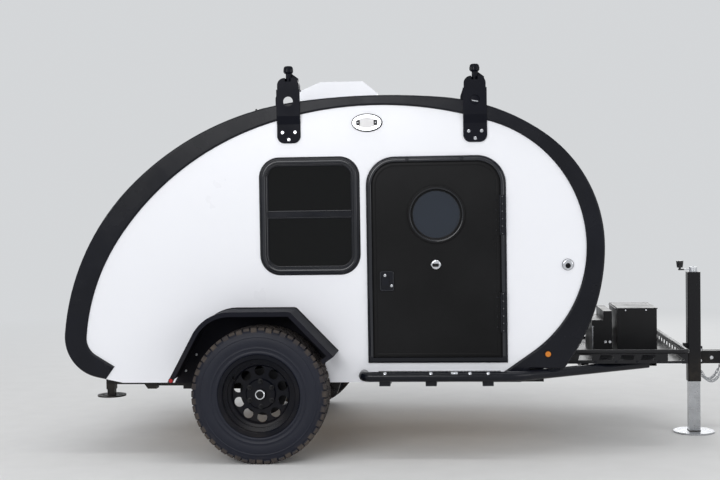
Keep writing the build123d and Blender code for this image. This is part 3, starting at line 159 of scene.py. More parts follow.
class Shader:
    """A Principled material with short ways to add texture to its sockets."""

    def __init__(self, name):
        self.material = bpy.data.materials.new(name)
        self.material.use_nodes = True
        self.tree = self.material.node_tree
        self.bsdf = self.tree.nodes["Principled BSDF"]
        self.coords = self.tree.nodes.new("ShaderNodeTexCoord").outputs["Object"]
        self.height = None

    def node(self, kind, **inputs):
        """A new node with its input values set by name."""
        made = self.tree.nodes.new(kind)
        for key, value in inputs.items():
            made.inputs[key.replace("_", " ")].default_value = value
        return made

    def link(self, a, b):
        self.tree.links.new(a, b)

    def noise(self, scale, detail=3, rough=0.5, stretch=(1, 1, 1)):
        """Noise in object space, as a value from 0 to 1."""
        place = self.node("ShaderNodeMapping")
        place.inputs["Scale"].default_value = stretch
        self.link(self.coords, place.inputs["Vector"])
        made = self.node("ShaderNodeTexNoise", Scale=scale, Detail=detail, Roughness=rough)
        self.link(place.outputs["Vector"], made.inputs["Vector"])
        return made.outputs["Fac"]

    def remap(self, value, low, high, to_low, to_high):
        made = self.node("ShaderNodeMapRange")
        made.inputs["From Min"].default_value = low
        made.inputs["From Max"].default_value = high
        made.inputs["To Min"].default_value = to_low
        made.inputs["To Max"].default_value = to_high
        self.link(value, made.inputs["Value"])
        return made.outputs["Result"]

    def multiply(self, a, b):
        made = self.node("ShaderNodeMath")
        made.operation = "MULTIPLY"
        self.link(a, made.inputs[0])
        self.link(b, made.inputs[1])
        return made.outputs[0]

    def blend_color(self, a, b, factor):
        """A mix of two colours, each a tuple or a socket, by a value."""
        made = self.tree.nodes.new("ShaderNodeMix")
        made.data_type = "RGBA"
        for slot, value in ((6, a), (7, b)):
            if isinstance(value, tuple):
                made.inputs[slot].default_value = (*value, 1)
            else:
                self.link(value, made.inputs[slot])
        self.link(factor, made.inputs[0])
        return made.outputs[2]

    def bump(self, value, distance):
        """Adds relief of a real depth, in metres, on top of earlier relief."""
        made = self.node("ShaderNodeBump", Strength=1.0, Distance=distance)
        self.link(value, made.inputs["Height"])
        if self.height is not None:
            self.link(self.height, made.inputs["Normal"])
        self.height = made.outputs["Normal"]
        self.link(self.height, self.bsdf.inputs["Normal"])

    def grain(self, scale, depth):
        """Fine relief all over."""
        self.bump(self.noise(scale, detail=2), depth)

    def set(self, **values):
        """Sets sockets of the shader by name, with numbers, colours or other sockets."""
        for key, value in values.items():
            socket = self.bsdf.inputs[key.replace("_", " ")]
            if isinstance(value, bpy.types.NodeSocket):
                self.link(value, socket)
            elif isinstance(value, tuple):
                socket.default_value = (*value, 1)
            else:
                socket.default_value = value


def finish(name, color, rough, grain, metal=0.0, tint=0.3, tint_scale=3.0, spread=0.08, coat=0.0,
           shine=0.5):
    """A painted, moulded or metal surface: slight colour drift, uneven gloss and a fine grain."""
    shader = Shader(name)
    darker = tuple(c * (1 - tint) for c in color)
    drift = shader.remap(shader.noise(tint_scale, detail=5), 0.35, 0.65, 0, 1)
    shader.set(Base_Color=shader.blend_color(color, darker, drift))
    gloss = shader.remap(shader.noise(tint_scale * 2.3, detail=4), 0.3, 0.7, rough - spread, rough + spread)
    shader.set(Roughness=gloss, Metallic=metal, Specular_IOR_Level=shine)
    if coat:
        shader.set(Coat_Weight=coat, Coat_Roughness=0.12)
    shader.grain(*grain)
    return shader.material


def dusty(name, color, dust_color, rough, low, high, amount, grain, shine):
    """A surface with road dust: the full amount at the low height, none at the high one."""
    shader = Shader(name)
    split = shader.node("ShaderNodeSeparateXYZ")
    shader.link(shader.coords, split.inputs[0])
    fade = shader.remap(split.outputs["Z"], low, high, amount, 0)
    patches = shader.remap(shader.noise(9, detail=6, rough=0.65), 0.35, 0.7, 0, 1)
    dust = shader.multiply(fade, patches)
    shader.set(Base_Color=shader.blend_color(color, dust_color, dust))
    shader.set(Roughness=shader.remap(dust, 0, 1, rough, 0.9), Specular_IOR_Level=shine)
    shader.grain(*grain)
    return shader.material


def glass(name, color, see_through, shine, rough=0.02):
    """Tinted glass with a smooth face."""
    shader = Shader(name)
    shader.set(Base_Color=color, Roughness=rough, IOR=1.45)
    shader.set(Transmission_Weight=see_through, Specular_IOR_Level=shine)
    shader.bump(shader.noise(1.5, detail=1), 0.0002)
    return shader.material


def lens(name, color, see_through=0.35):
    """Moulded lamp plastic with fine ribs."""
    shader = Shader(name)
    shader.set(Base_Color=color, Roughness=0.12, Transmission_Weight=see_through, IOR=1.49)
    wave = shader.node("ShaderNodeTexWave", Scale=45.0)
    shader.link(shader.coords, wave.inputs["Vector"])
    shader.bump(wave.outputs["Fac"], 0.0008)
    return shader.material


def plywood(name, pale, dark):
    """Birch plywood with long grain and a clear lacquer."""
    shader = Shader(name)
    grain = shader.noise(14, detail=8, rough=0.6, stretch=(3, 0.3, 3))
    streak = shader.remap(grain, 0.35, 0.68, 0, 1)
    shader.set(Base_Color=shader.blend_color(pale, dark, streak))
    shader.set(Roughness=0.42, Coat_Weight=0.2, Coat_Roughness=0.2)
    shader.bump(grain, 0.0003)
    return shader.material


def cloth(name, color, other, scale):
    """Woven cloth: two threads crossing, in object space."""
    shader = Shader(name)
    threads = []
    for axis in ("X", "Y"):
        wave = shader.node("ShaderNodeTexWave", Scale=scale)
        wave.bands_direction = axis
        shader.link(shader.coords, wave.inputs["Vector"])
        threads.append(wave.outputs["Fac"])
    weave = shader.multiply(*threads)
    slub = shader.remap(shader.noise(60, detail=4), 0.3, 0.7, 0, 1)
    shader.set(Base_Color=shader.blend_color(color, other, slub), Roughness=0.9, Sheen_Weight=0.3)
    shader.bump(weave, 0.0006)
    shader.bump(slub, 0.0004)
    return shader.material


def tyre_rubber(name):
    """Black rubber tinted blue, a painted reflection of the sky on the sidewall, with tan dust by the amount
    stored at each point.
    """
    shader = Shader(name)
    dust = shader.node("ShaderNodeAttribute")
    dust.attribute_name = "dust"
    patches = shader.remap(shader.noise(16, detail=6, rough=0.7), 0.3, 0.7, 0.25, 1)
    dirt = shader.multiply(dust.outputs["Fac"], patches)
    amount = shader.remap(dirt, 0.12, 1, 0, 0.75)
    # The blue in both rubber colours is a painted reflection of the sky; the noise between them is random
    # tone.
    rubber_tone_and_sky_tint = shader.blend_color((0.0045, 0.0055, 0.0125), (0.0085, 0.0105, 0.021), shader.noise(5, detail=4))
    shader.set(Base_Color=shader.blend_color(rubber_tone_and_sky_tint, (0.115, 0.092, 0.07), amount))
    shader.set(Roughness=shader.remap(dirt, 0, 0.6, 0.42, 0.88), Specular_IOR_Level=0.3)
    shader.bump(shader.noise(340), 0.0003)
    return shader.material


def crank_metal(name):
    """Plated steel, with a black plastic knob at the crank's far end."""
    shader = Shader(name)
    split = shader.node("ShaderNodeSeparateXYZ")
    shader.link(shader.coords, split.inputs[0])
    metal = shader.remap(split.outputs["X"], 1.5149, 1.5151, 0, 1)
    color = shader.blend_color((0.012, 0.012, 0.013), (0.62, 0.63, 0.65), metal)
    shader.set(Base_Color=color, Metallic=metal)
    patches = shader.noise(60)
    shader.set(Roughness=shader.remap(patches, 0.3, 0.7, 0.2, 0.38))
    shader.bump(patches, 0.0002)
    return shader.material


def make_materials():
    """Every finish by name."""
    tan = (0.33, 0.26, 0.18)
    return {
        "panel": finish("panel_white", (0.865, 0.875, 0.915), rough=0.3, tint=0.008, tint_scale=1.2,
                        grain=(2.2, 0.0003), spread=0.03, coat=0.25),
        # The blue in the border, frame, rack, gloss, fender and rim blacks is a painted reflection: it stands
        # for the sky's blue in their highlights.
        "border": finish("border_black", (0.0065, 0.0072, 0.0115), rough=0.24, grain=(700, 0.0001),
                         shine=0.2),
        "frame": finish("frame_black", (0.005, 0.0058, 0.01), rough=0.18, tint=0.25, grain=(900, 0.00006),
                        shine=0.26),
        "rack": finish("rack_black", (0.0045, 0.0052, 0.01), rough=0.42, tint=0.25, grain=(900, 0.0001),
                       shine=0.1),
        "gloss": finish("gloss_black", (0.005, 0.0062, 0.011), rough=0.12, tint=0.2, grain=(500, 0.00003),
                        spread=0.04, shine=0.6),
        "rubber": finish("seal_rubber", (0.006, 0.006, 0.0065), rough=0.55, tint_scale=9,
                         grain=(800, 0.0002), shine=0.2),
        "door": finish("door_black", (0.0115, 0.0115, 0.0122), rough=0.34, tint=0.35, tint_scale=1.6,
                       grain=(1100, 0.0001), shine=0.1),
        "fender": dusty("fender_black", (0.013, 0.0135, 0.0185), tan, 0.5, 0.42, 0.8, 0.04,
                        grain=(800, 0.0001), shine=0.02),
        "chassis": dusty("chassis_black", (0.008, 0.008, 0.0095), tan, 0.36, 0.3, 0.5, 0.12,
                         grain=(500, 0.0002), shine=0.2),
        "tray": finish("tray_black", (0.0085, 0.0085, 0.0105), rough=0.32, grain=(900, 0.0002),
                       shine=0.3),
        "box": finish("box_black", (0.0085, 0.0085, 0.0095), rough=0.36, grain=(600, 0.0002),
                      shine=0.25),
        "rim": dusty("rim_black", (0.0038, 0.0045, 0.008), tan, 0.28, 0.15, 0.6, 0.04, grain=(600, 0.0001),
                     shine=0.12),
        "hub": finish("hub_dark", (0.011, 0.011, 0.013), rough=0.42, metal=0.3, grain=(400, 0.0002),
                      shine=0.3),
        "chrome": finish("chrome", (0.72, 0.73, 0.76), rough=0.1, metal=1.0, tint=0.05, spread=0.05,
                         grain=(300, 0.00003)),
        "steel": finish("bright_steel", (0.5, 0.51, 0.53), rough=0.3, metal=1.0, tint=0.15, tint_scale=20,
                        grain=(420, 0.0001)),
        "dull_steel": finish("dull_steel", (0.16, 0.16, 0.17), rough=0.35, metal=1.0, tint=0.2, tint_scale=20,
                             grain=(420, 0.0001)),
        "crank": crank_metal("crank_metal"),
        "window": glass("window_tint", (0.0045, 0.0048, 0.005), rough=0.04, see_through=0.2, shine=0.14),
        "porthole": glass("porthole_tint", (0.022, 0.031, 0.048), see_through=0.35, shine=0.5),
        "white_lens": lens("white_lens", (0.88, 0.87, 0.88), see_through=0.12),
        "amber_lens": lens("amber_lens", (0.95, 0.3, 0.02)),
        "red_lens": lens("red_lens", (0.5, 0.012, 0.012)),
        "wood": plywood("birch_ply", (0.62, 0.44, 0.26), (0.45, 0.29, 0.15)),
        "edge_wood": plywood("birch_edge", (0.48, 0.31, 0.17), (0.33, 0.2, 0.1)),
        "mattress": cloth("mattress_cloth", (0.26, 0.29, 0.32), (0.18, 0.2, 0.23), 110),
        "piping": cloth("piping_cloth", (0.09, 0.1, 0.12), (0.06, 0.07, 0.08), 160),
        "vent": finish("vent_white", (0.86, 0.87, 0.9), rough=0.4, tint=0.04, grain=(300, 0.0002)),
        "tyre": tyre_rubber("tyre_rubber"),
    }


# CAD nodes by finish
NODE_FINISH = {
    "panel": "side_wall_right side_wall_left roof_shell rear_panel galley_hatch",
    "border": "edge_borders",
    "frame": "door_frames window_frames door_hinges hatch_hinge hatch_handle rock_sliders "
             "door_handle_right door_handle_left plate_holder",
    "rack": "rack_mounts",
    "door": "door_right door_left",
    "fender": "fenders",
    "chassis": "side_rails crossmembers tongue_beam tongue_outriggers suspension_rails trailing_arms "
               "coupler jack_tube stabilizer_tubes stabilizer_leg_right stabilizer_leg_left",
    "tray": "tongue_tray step_plates",
    "box": "tongue_box tongue_box_lid battery_box",
    "rim": "rim_right rim_left",
    "hub": "hub_right hub_left",
    "chrome": "chrome_lamps door_knob_right door_knob_left",
    "steel": "jack_leg",
    "crank": "jack_crank",
    "window": "window_glass",
    "porthole": "door_glass_right door_glass_left",
    "white_lens": "porch_lenses",
    "amber_lens": "amber_markers",
    "red_lens": "red_lamps",
    "wood": "floor bulkhead galley_cabinet",
    "mattress": "mattress",
    "vent": "vent_base vent_lid",
    "tyre": "tyre_right tyre_left",
}
# Slot of an added piece by its finish, where its line gives no other
SLOT = {
    "rubber": "frame_black", "gloss": "frame_black", "frame": "frame_black", "rack": "frame_black",
    "chrome": "bright_metal", "steel": "bright_metal", "dull_steel": "bright_metal", "vent": "vent_white",
    "tray": "tray_black", "door": "door_black", "hub": "hub_steel", "tyre": "tyre_rubber",
    "window": "window_tint", "chassis": "chassis_black", "edge_wood": "birch_ply",
    "piping": "mattress_cloth",
}


def dress_nodes():
    """Gives every CAD node its finish."""
    for key, names in NODE_FINISH.items():
        for name in names.split():
            data = NODES[name].data
            data.materials.clear()
            data.materials.append(MATERIALS[key])


# Mesh helpers

class Piece:
    """Points and faces gathered into one mesh."""

    def __init__(self):
        self.points = []
        self.faces = []

    def add(self, points, faces):
        first = len(self.points)
        self.points += [tuple(point) for point in points]
        self.faces += [tuple(first + i for i in face) for face in faces]

    def skin(self, rings, wrap=False):
        """Joins rings of as many points each, and closes the ends unless it wraps round."""
        size = len(rings[0])
        count = len(rings)
        faces = []
        for i in range(count if wrap else count - 1):
            a = i * size
            b = (i + 1) % count * size
            for j in range(size):
                k = (j + 1) % size
                faces.append((a + j, a + k, b + k, b + j))
        if not wrap:
            faces.append(tuple(range(size)))
            faces.append(tuple(range((count - 1) * size, count * size)))
        self.add([point for ring in rings for point in ring], faces)

    def sweep(self, path, section, out, wrap=False):
        """Carries a closed section, of points (across, along out), along a path."""
        out = Vector(out)
        rings = []
        for i, place in enumerate(path):
            ahead = path[(i + 1) % len(path)] if wrap or i + 1 < len(path) else place
            behind = path[i - 1] if wrap or i else place
            across = (ahead - behind).cross(out).normalized()
            level = across.cross(ahead - behind).normalized()
            rings.append([place + across * a + level * b for a, b in section])
        self.skin(rings, wrap)

    def spin(self, profile, centre, axis, steps, ring=False):
        """Turns a profile of (radius, place along the axis) round an axis; a ring's profile is closed."""
        axis = Vector(axis).normalized()
        u = axis.orthogonal().normalized()
        v = axis.cross(u)
        size = len(profile)
        points = []
        faces = []
        for i in range(steps):
            angle = math.tau * i / steps
            spoke = u * math.cos(angle) + v * math.sin(angle)
            points += [Vector(centre) + axis * along + spoke * radius for radius, along in profile]
            a = i * size
            b = (i + 1) % steps * size
            for j in range(size if ring else size - 1):
                k = (j + 1) % size
                faces.append((a + j, a + k, b + k, b + j))
        if not ring:
            faces.append(tuple(i * size for i in range(steps)))
            faces.append(tuple(i * size + size - 1 for i in range(steps)))
        self.add(points, faces)

    def prism(self, outline, place, u, v, depth):
        """Raises an outline, of points (along u, along v), by a vector."""
        corners = [Vector(place) + Vector(u) * a + Vector(v) * b for a, b in outline]
        self.skin([corners, [corner + Vector(depth) for corner in corners]])

    def tab(self, outline, sign, y, thick, x=0, z=0):
        """Raises a side-view outline outwards from a distance from the middle."""
        self.prism(outline, (x, sign * y, z), (1, 0, 0), (0, 0, 1), (0, sign * thick, 0))

    def frame(self, box, inset, top, low, y, section):
        """Carries a section round a box in side view, with rounded corners."""
        loop = at_side(inset_loop(box, inset, top, low), y)
        self.sweep(loop, section, (0, math.copysign(1, y), 0), wrap=True)

    def screw(self, place, out, radius):
        """A pan-head screw with a round recess."""
        high = radius * 0.55
        profile = [(radius, -0.0005), (radius, high * 0.35), (radius * 0.86, high * 0.8),
                   (radius * 0.55, high), (radius * 0.42, high), (radius * 0.36, high * 0.45)]
        self.spin(profile, place, out, 16)

    def bolt(self, place, out, radius):
        """A hexagon bolt head on its washer."""
        washer = [(radius * 1.4, -0.0005), (radius * 1.4, radius * 0.2), (radius * 1.3, radius * 0.28)]
        head = [(radius, radius * 0.2), (radius, radius * 0.75), (radius * 0.84, radius * 0.95)]
        self.spin(washer, place, out, 24)
        self.spin(head, place, out, 6)


def make(name, piece, material, body="trailer", slot=None, sharp=35, bevel=0.0):
    """Turns a gathered piece into an object that rides on a body; edges over sharp degrees stay crisp."""
    slot = slot or SLOT[material]
    mesh = bpy.data.meshes.new(name)
    mesh.from_pydata(piece.points, [], piece.faces)
    work = bmesh.new()
    work.from_mesh(mesh)
    bmesh.ops.remove_doubles(work, verts=work.verts, dist=1e-6)
    bmesh.ops.recalc_face_normals(work, faces=work.faces)
    limit = math.radians(sharp)
    if bevel:
        edges = [edge for edge in work.edges if edge.calc_face_angle(0) > limit]
        bmesh.ops.bevel(work, geom=edges, offset=bevel, segments=2, profile=0.6, affect="EDGES")
    for face in work.faces:
        face.smooth = True
    for edge in work.edges:
        edge.smooth = edge.calc_face_angle(0) < limit
    work.to_mesh(mesh)
    work.free()
    made = new_object(name, mesh)
    made.data.materials.append(MATERIALS[material])
    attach(made, body)
    return made


def circle(radius, steps=10):
    """A round section."""
    turns = [math.tau * i / steps for i in range(steps)]
    return [(radius * math.cos(turn), radius * math.sin(turn)) for turn in turns]


def pill(width, height, steps=5):
    """A flat section with round ends."""
    radius = height / 2
    points = []
    for middle, start in ((width / 2 - radius, -90), (radius - width / 2, 90)):
        for i in range(steps + 1):
            angle = math.radians(start + 180 * i / steps)
            points.append((middle + radius * math.cos(angle), radius * math.sin(angle)))
    return points


def corner(centre, radius, start, turn, steps=8):
    """Points along an arc, in degrees."""
    points = []
    for i in range(steps + 1):
        angle = math.radians(start + turn * i / steps)
        points.append((centre[0] + radius * math.cos(angle), centre[1] + radius * math.sin(angle)))
    return points


def frame_loop(x0, x1, z0, z1, top, low):
    """A rectangle in side view with one radius at its top corners and another at the low ones."""
    points = corner((x1 - low, z0 + low), low, -90, 90)
    points += corner((x1 - top, z1 - top), top, 0, 90, 14)
    points += corner((x0 + top, z1 - top), top, 90, 90, 14)
    return points + corner((x0 + low, z0 + low), low, 180, 90)


def inset_loop(box, inset, top, low):
    """The same round a box of (x0, x1, z0, z1), set in from its edges."""
    x0, x1, z0, z1 = box
    return frame_loop(x0 + inset, x1 - inset, z0 + inset, z1 - inset, top, low)


def at_side(outline, y):
    """Places a side-view outline at a distance from the middle."""
    return [Vector((x, y, z)) for x, z in outline]


def at_end(outline, x, y=0, z=0):
    """Places an outline, of points (across, up), on an upright plane across the trailer."""
    return [Vector((x, y + a, z + b)) for a, b in outline]


def at_level(outline, z, x=0, y=0):
    """Lays an outline flat at a height."""
    return [Vector((x + a, y + b, z)) for a, b in outline]


def rounded_path(corners, radii):
    """A line through corners, each but the two ends rounded by its radius."""
    points = [corners[0]]
    for i in range(1, len(corners) - 1):
        here = Vector(corners[i])
        back = (Vector(corners[i - 1]) - here).normalized()
        on = (Vector(corners[i + 1]) - here).normalized()
        half = back.angle(on) / 2
        reach = radii[i - 1] / math.tan(half)
        middle = here + (back + on).normalized() * (radii[i - 1] / math.sin(half))
        first = here + back * reach - middle
        last = here + on * reach - middle
        turn = first.angle_signed(last)
        for j in range(9):
            spun = Matrix.Rotation(-turn * j / 8, 2) @ first
            points.append(tuple(middle + spun))
    return points + [corners[-1]]


# Tyres

PITCHES = 55
PITCH_STEPS = 12
LUG_SHARE = 0.77
# In millimetres: the tread's radius at its middle, its half width, its drop at the edge and its grooves
TREAD_RADIUS = 372
TREAD_HALF = 98.5
TREAD_DROP = 3
GROOVE_DEPTH = 10.5
SHOULDER_DEPTH = 7
SHOULDER_START = 62
ZIGZAG = 3
WALL_TOP = 330
# How dusty each part is, from 0 to 1
DUST = {"wall": 0.04, "wall_top": 0.22, "lug": 0.95, "lug_groove": 0.1, "block": 0.85, "block_groove": 0.15}
# Radius and distance from the wheel's middle, in millimetres, from the bead out to the shoulder
SIDEWALL = [
    (204.5, 96.5), (213, 98.4), (222.5, 100.0), (225, 102.6), (228, 105.6), (233, 107.2), (238, 107.0),
    (241, 105.4), (246, 105.7), (253, 107.6), (257, 108.7), (258.5, 110.0), (262, 110.0), (264, 109.2),
    (273, 110.9), (283, 111.9), (293, 112.4), (303, 112.1), (311, 111.2), (315, 110.6), (317, 111.9),
    (322, 111.5), (324.5, 109.6), (331, 108.6), (337, 107.3), (343, 105.5),
]
# The same on a lug, then in a groove
SHOULDER = [
    ((347.5, 105.2), (346.5, 103.0)), ((353, 104.6), (350.5, 100.8)), ((358, 103.7), (354.5, 98.2)),
    ((363, 102.4), (358, 95.8)), ((367, 100.6), (361.5, 94.0)), ((369, 98.3), (364, 92.4)),
]
# Distances from the tyre's middle at which the tread is cut
TREAD = [94, 88, 82, 76, 70, 65, 61, 58.5, 56, 53.5, 51, 46, 41, 36, 31, 27, 24, 21.5, 19, 16.5, 14, 9, 4.5]
LINER = [(204.5, 84), (268, 95), (345, 78), (352, 0), (345, -78), (268, -95), (204.5, -84)]


def wheel_point(radius, angle, sign, out):
    """A point on a wheel, by its angle in radians and its distance out from the wheel's middle."""
    return Vector((WHEEL_X + radius * math.cos(angle), sign * (WHEEL_CENTRE_Y + out),
                   WHEEL_Z + radius * math.sin(angle)))


def block_height(across, phase):
    """1 on a tread block, 0 in a groove; across is the distance from the tyre's middle in millimetres."""
    zigzag = ZIGZAG * (1 - abs(phase * 2 - 1) * 2)
    away = abs(across)
    if away > 59 + zigzag:
        return float(phase < LUG_SHARE)
    if away > 53 + zigzag:
        return 0.0
    if away > 23 - zigzag:
        return float((phase + 0.5 + across / 160) % 1 < 0.7)
    if away > 17 - zigzag:
        return 0.0
    return float((phase + 0.2) % 1 < 0.84)


def tyre_ring(turn):
    """The tyre's section at a turn, as (radius, out, dust)."""
    phase = turn % PITCH_STEPS / PITCH_STEPS
    odd = turn // PITCH_STEPS % 2
    outer = []
    for radius, out in SIDEWALL:
        outer.append((radius, out, DUST["wall"] if radius < WALL_TOP else DUST["wall_top"]))
    for i, (lug, groove) in enumerate(SHOULDER):
        # Every other lug starts higher up the wall
        raised = phase < LUG_SHARE and not (odd and i < 2)
        radius, out = lug if raised else groove
        outer.append((radius, out, DUST["lug"] if raised else DUST["lug_groove"]))
    tread = []
    for across in TREAD + [0] + [-t for t in reversed(TREAD)]:
        top = TREAD_RADIUS - TREAD_DROP * (across / TREAD_HALF) ** 2
        high = block_height(across, phase)
        deep = SHOULDER_DEPTH if abs(across) > SHOULDER_START else GROOVE_DEPTH
        tread.append((top - deep * (1 - high), across, DUST["block"] if high else DUST["block_groove"]))
    inner = [(radius, -out, dust) for radius, out, dust in reversed(outer)]
    liner = [(radius, -out, 0.0) for radius, out in LINER]
    return [(r / 1000, o / 1000, d) for r, o, d in outer + tread + inner + liner]


def make_tyres():
    """A tyre with blocks, grooves and sidewall rings, in place of each plain one."""
    steps = PITCHES * PITCH_STEPS
    rings = [tyre_ring(turn) for turn in range(steps)]
    first = math.radians(-90) - math.tau / PITCHES * LUG_SHARE / 2
    for side, sign in SIDES:
        piece = Piece()
        dust = []
        placed = []
        for i, ring in enumerate(rings):
            angle = first + math.tau * i / steps
            placed.append([wheel_point(radius, angle, sign, out) for radius, out, amount in ring])
            dust += [amount for radius, out, amount in ring]
        piece.skin(placed, wrap=True)
        tyre = make(f"tyre_tread_{side}", piece, "tyre", f"wheel_{side}", sharp=40)
        layer = tyre.data.attributes.new("dust", "FLOAT", "POINT")
        layer.data.foreach_set("value", dust)
        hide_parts(f"tyre_{side}")


STUD_CIRCLE = 0.06985
VALVE_ANGLE = math.radians(148)


def make_wheel_trim(side, sign):
    """Hub ring, dust cap, washers and ends of the studs, and the valve."""
    out = (0, sign, 0)
    body = f"wheel_{side}"
    middle = wheel_point(0, 0, sign, 0)
    ring = Piece()
    ring.spin([(0.0198, 0.0585), (0.0198, 0.0608), (0.0212, 0.0622), (0.0252, 0.0622), (0.0272, 0.0606),
               (0.0272, 0.055)], middle, out, 48, ring=True)
    make(f"hub_ring_{side}", ring, "chrome", body)
    cap = Piece()
    cap.spin([(0.0195, 0.0575), (0.0195, 0.0592), (0.016, 0.0605), (0.009, 0.0612), (0.002, 0.0614)],
             middle, out, 32)
    make(f"hub_cap_{side}", cap, "rubber", body, "hub_steel")
    studs = Piece()
    for i in range(6):
        foot = wheel_point(STUD_CIRCLE, math.radians(60 * (i + 0.5)), sign, 0)
        studs.spin([(0.0145, 0.0318), (0.0145, 0.0335), (0.0115, 0.0345)], foot, out, 20)
        studs.spin([(0.0062, 0.0498), (0.0062, 0.056), (0.005, 0.0572)], foot, out, 14)
    make(f"wheel_studs_{side}", studs, "hub", body)
    valve = Piece()
    lean = Vector(out) - Vector((math.cos(VALVE_ANGLE), 0, math.sin(VALVE_ANGLE))) * 0.5
    valve.spin([(0.0065, 0), (0.006, 0.004), (0.004, 0.008), (0.0038, 0.026), (0.0046, 0.027),
                (0.0046, 0.037), (0.003, 0.0385)], wheel_point(0.172, VALVE_ANGLE, sign, 0.0545), lean, 16)
    make(f"valve_{side}", valve, "rubber", body, "rim_black")


# Doors and windows

# Boxes are (back, front, low, high) in side view, and places (x, z) or (x, 0, z)
DOOR_BOX = (-0.328, 0.44, 0.517, 1.656)
WINDOW_BOX = (-0.919, -0.365, 1.011, 1.659)
HANDLE_BOX = (-0.2565, -0.1795, 0.916, 1.026)
HANDLE = (-0.218, 0.971)
PORTHOLE = (0.058, 0, 1.334)
KNOB = (0.053, 0, 1.059)
LEVER = (-0.226, 0.969)
SCREW_CIRCLE = 0.1475
HINGE_HEIGHTS = (0.794, 1.326)
CROWN_FOOT = 0.553
# Section of the rounded crown along the outer edge of door and window frames
CROWN = [(-0.0095, -0.001), (0.0095, -0.001), (0.0085, 0.001), (0.0052, 0.0032), (0.0, 0.0042),
         (-0.0052, 0.0032), (-0.0085, 0.001)]


def make_door_trim(side, sign):
    """Seals, edge trim, screws, locks and inner trim of a door."""
    body = f"door_{side}"
    out = (0, sign, 0)
    seal = Piece()
    for y in (0.803, 0.77):
        seal.frame(DOOR_BOX, 0.033, 0.127, 0.004, sign * y, circle(0.0027))
    make(f"door_seal_{side}", seal, "rubber")
    crown = Piece()
    loop = at_side(inset_loop(DOOR_BOX, 0.0205, 0.1395, 0.0165), sign * 0.813)
    crown.sweep([place for place in loop if place.z > CROWN_FOOT], CROWN, out)
    make(f"door_frame_crown_{side}", crown, "gloss")
    trim = Piece()
    trim.frame(DOOR_BOX, 0.0465, 0.1135, 0.008, sign * 0.8085, pill(0.016, 0.003))
    make(f"door_edge_{side}", trim, "door", body)
    bead = Piece()
    bead.spin([(0.1338, 0.8075), (0.1437, 0.8178), (0.145, 0.8186), (0.1475, 0.8188), (0.1475, 0.8172),
               (0.135, 0.8062)], PORTHOLE, out, 96, ring=True)
    bead.spin([(0.1345, 0.792), (0.1345, 0.766), (0.139, 0.7625), (0.156, 0.763), (0.159, 0.7698),
               (0.137, 0.7702)], PORTHOLE, out, 96, ring=True)
    make(f"porthole_bead_{side}", bead, "gloss", body)
    gasket = Piece()
    gasket.spin([(0.1342, 0.7978), (0.1302, 0.7978), (0.1294, 0.7996), (0.1312, 0.8012), (0.1342, 0.8018)],
                PORTHOLE, out, 96, ring=True)
    make(f"porthole_gasket_{side}", gasket, "rubber", body)
    knob = Piece()
    knob.tab(frame_loop(0.033, 0.069, 1.0475, 1.0655, 0.006, 0.006), sign, 0.8232, 0.0013)
    knob.spin([(0.0282, 0.8085), (0.0282, 0.81), (0.03, 0.8104), (0.0308, 0.8085)], KNOB, out, 48,
              ring=True)
    make(f"knob_slot_{side}", knob, "rubber", body)
    screws = Piece()
    for i in range(8):
        angle = math.radians(22.5 + 45 * i)
        x = PORTHOLE[0] + SCREW_CIRCLE * math.cos(angle)
        z = PORTHOLE[2] + SCREW_CIRCLE * math.sin(angle)
        screws.screw((x, sign * 0.7628, z), (0, -sign, 0), 0.0035)
    make(f"porthole_screws_{side}", screws, "steel", body)
    leaf = Piece()
    for z in HINGE_HEIGHTS:
        for i in range(6):
            leaf.screw((0.4185, sign * 0.8172, z + (i - 2.5) * 0.0405), out, 0.0034)
    make(f"door_frame_screws_{side}", leaf, "dull_steel")
    clips = Piece()
    for x in (-0.098, 0.2):
        clips.tab(frame_loop(x - 0.01, x + 0.01, 1.628, 1.652, 0.003, 0.003), sign, 0.8138, 0.0046)
    make(f"door_frame_clips_{side}", clips, "frame")
    inner = Piece()
    for z in HINGE_HEIGHTS:
        for i in range(4):
            inner.screw((0.386, sign * 0.8112, z + (i - 1.5) * 0.055), out, 0.0038)
    make(f"door_leaf_screws_{side}", inner, "frame", body)
    locks = Piece()
    for dx, dz in ((-0.01, 0.031), (0.026, -0.026)):
        locks.spin([(0.0078, 0.8205), (0.0078, 0.8228), (0.0066, 0.824), (0.0016, 0.824), (0.0012, 0.8215)],
                   (HANDLE[0] + dx, 0, HANDLE[1] + dz), out, 24)
    make(f"door_locks_{side}", locks, "chrome", body)
    lip = Piece()
    lip.frame(HANDLE_BOX, 0.003, 0.01, 0.008, sign * 0.8158, circle(0.0026))
    make(f"handle_lip_{side}", lip, "gloss", body)
    lever = Piece()
    lever.spin([(0.026, 0.0), (0.026, 0.004), (0.022, 0.008), (0.01, 0.009), (0.008, 0.026), (0.006, 0.028)],
               (LEVER[0], sign * 0.77, LEVER[1]), (0, -sign, 0), 28)
    path = ((*LEVER, 0.746), (-0.19, 0.969, 0.744), (-0.15, 0.966, 0.744), (-0.118, 0.96, 0.746))
    lever.sweep([Vector((x, sign * y, z)) for x, z, y in path], pill(0.018, 0.009), out)
    make(f"door_inner_lever_{side}", lever, "steel", body)


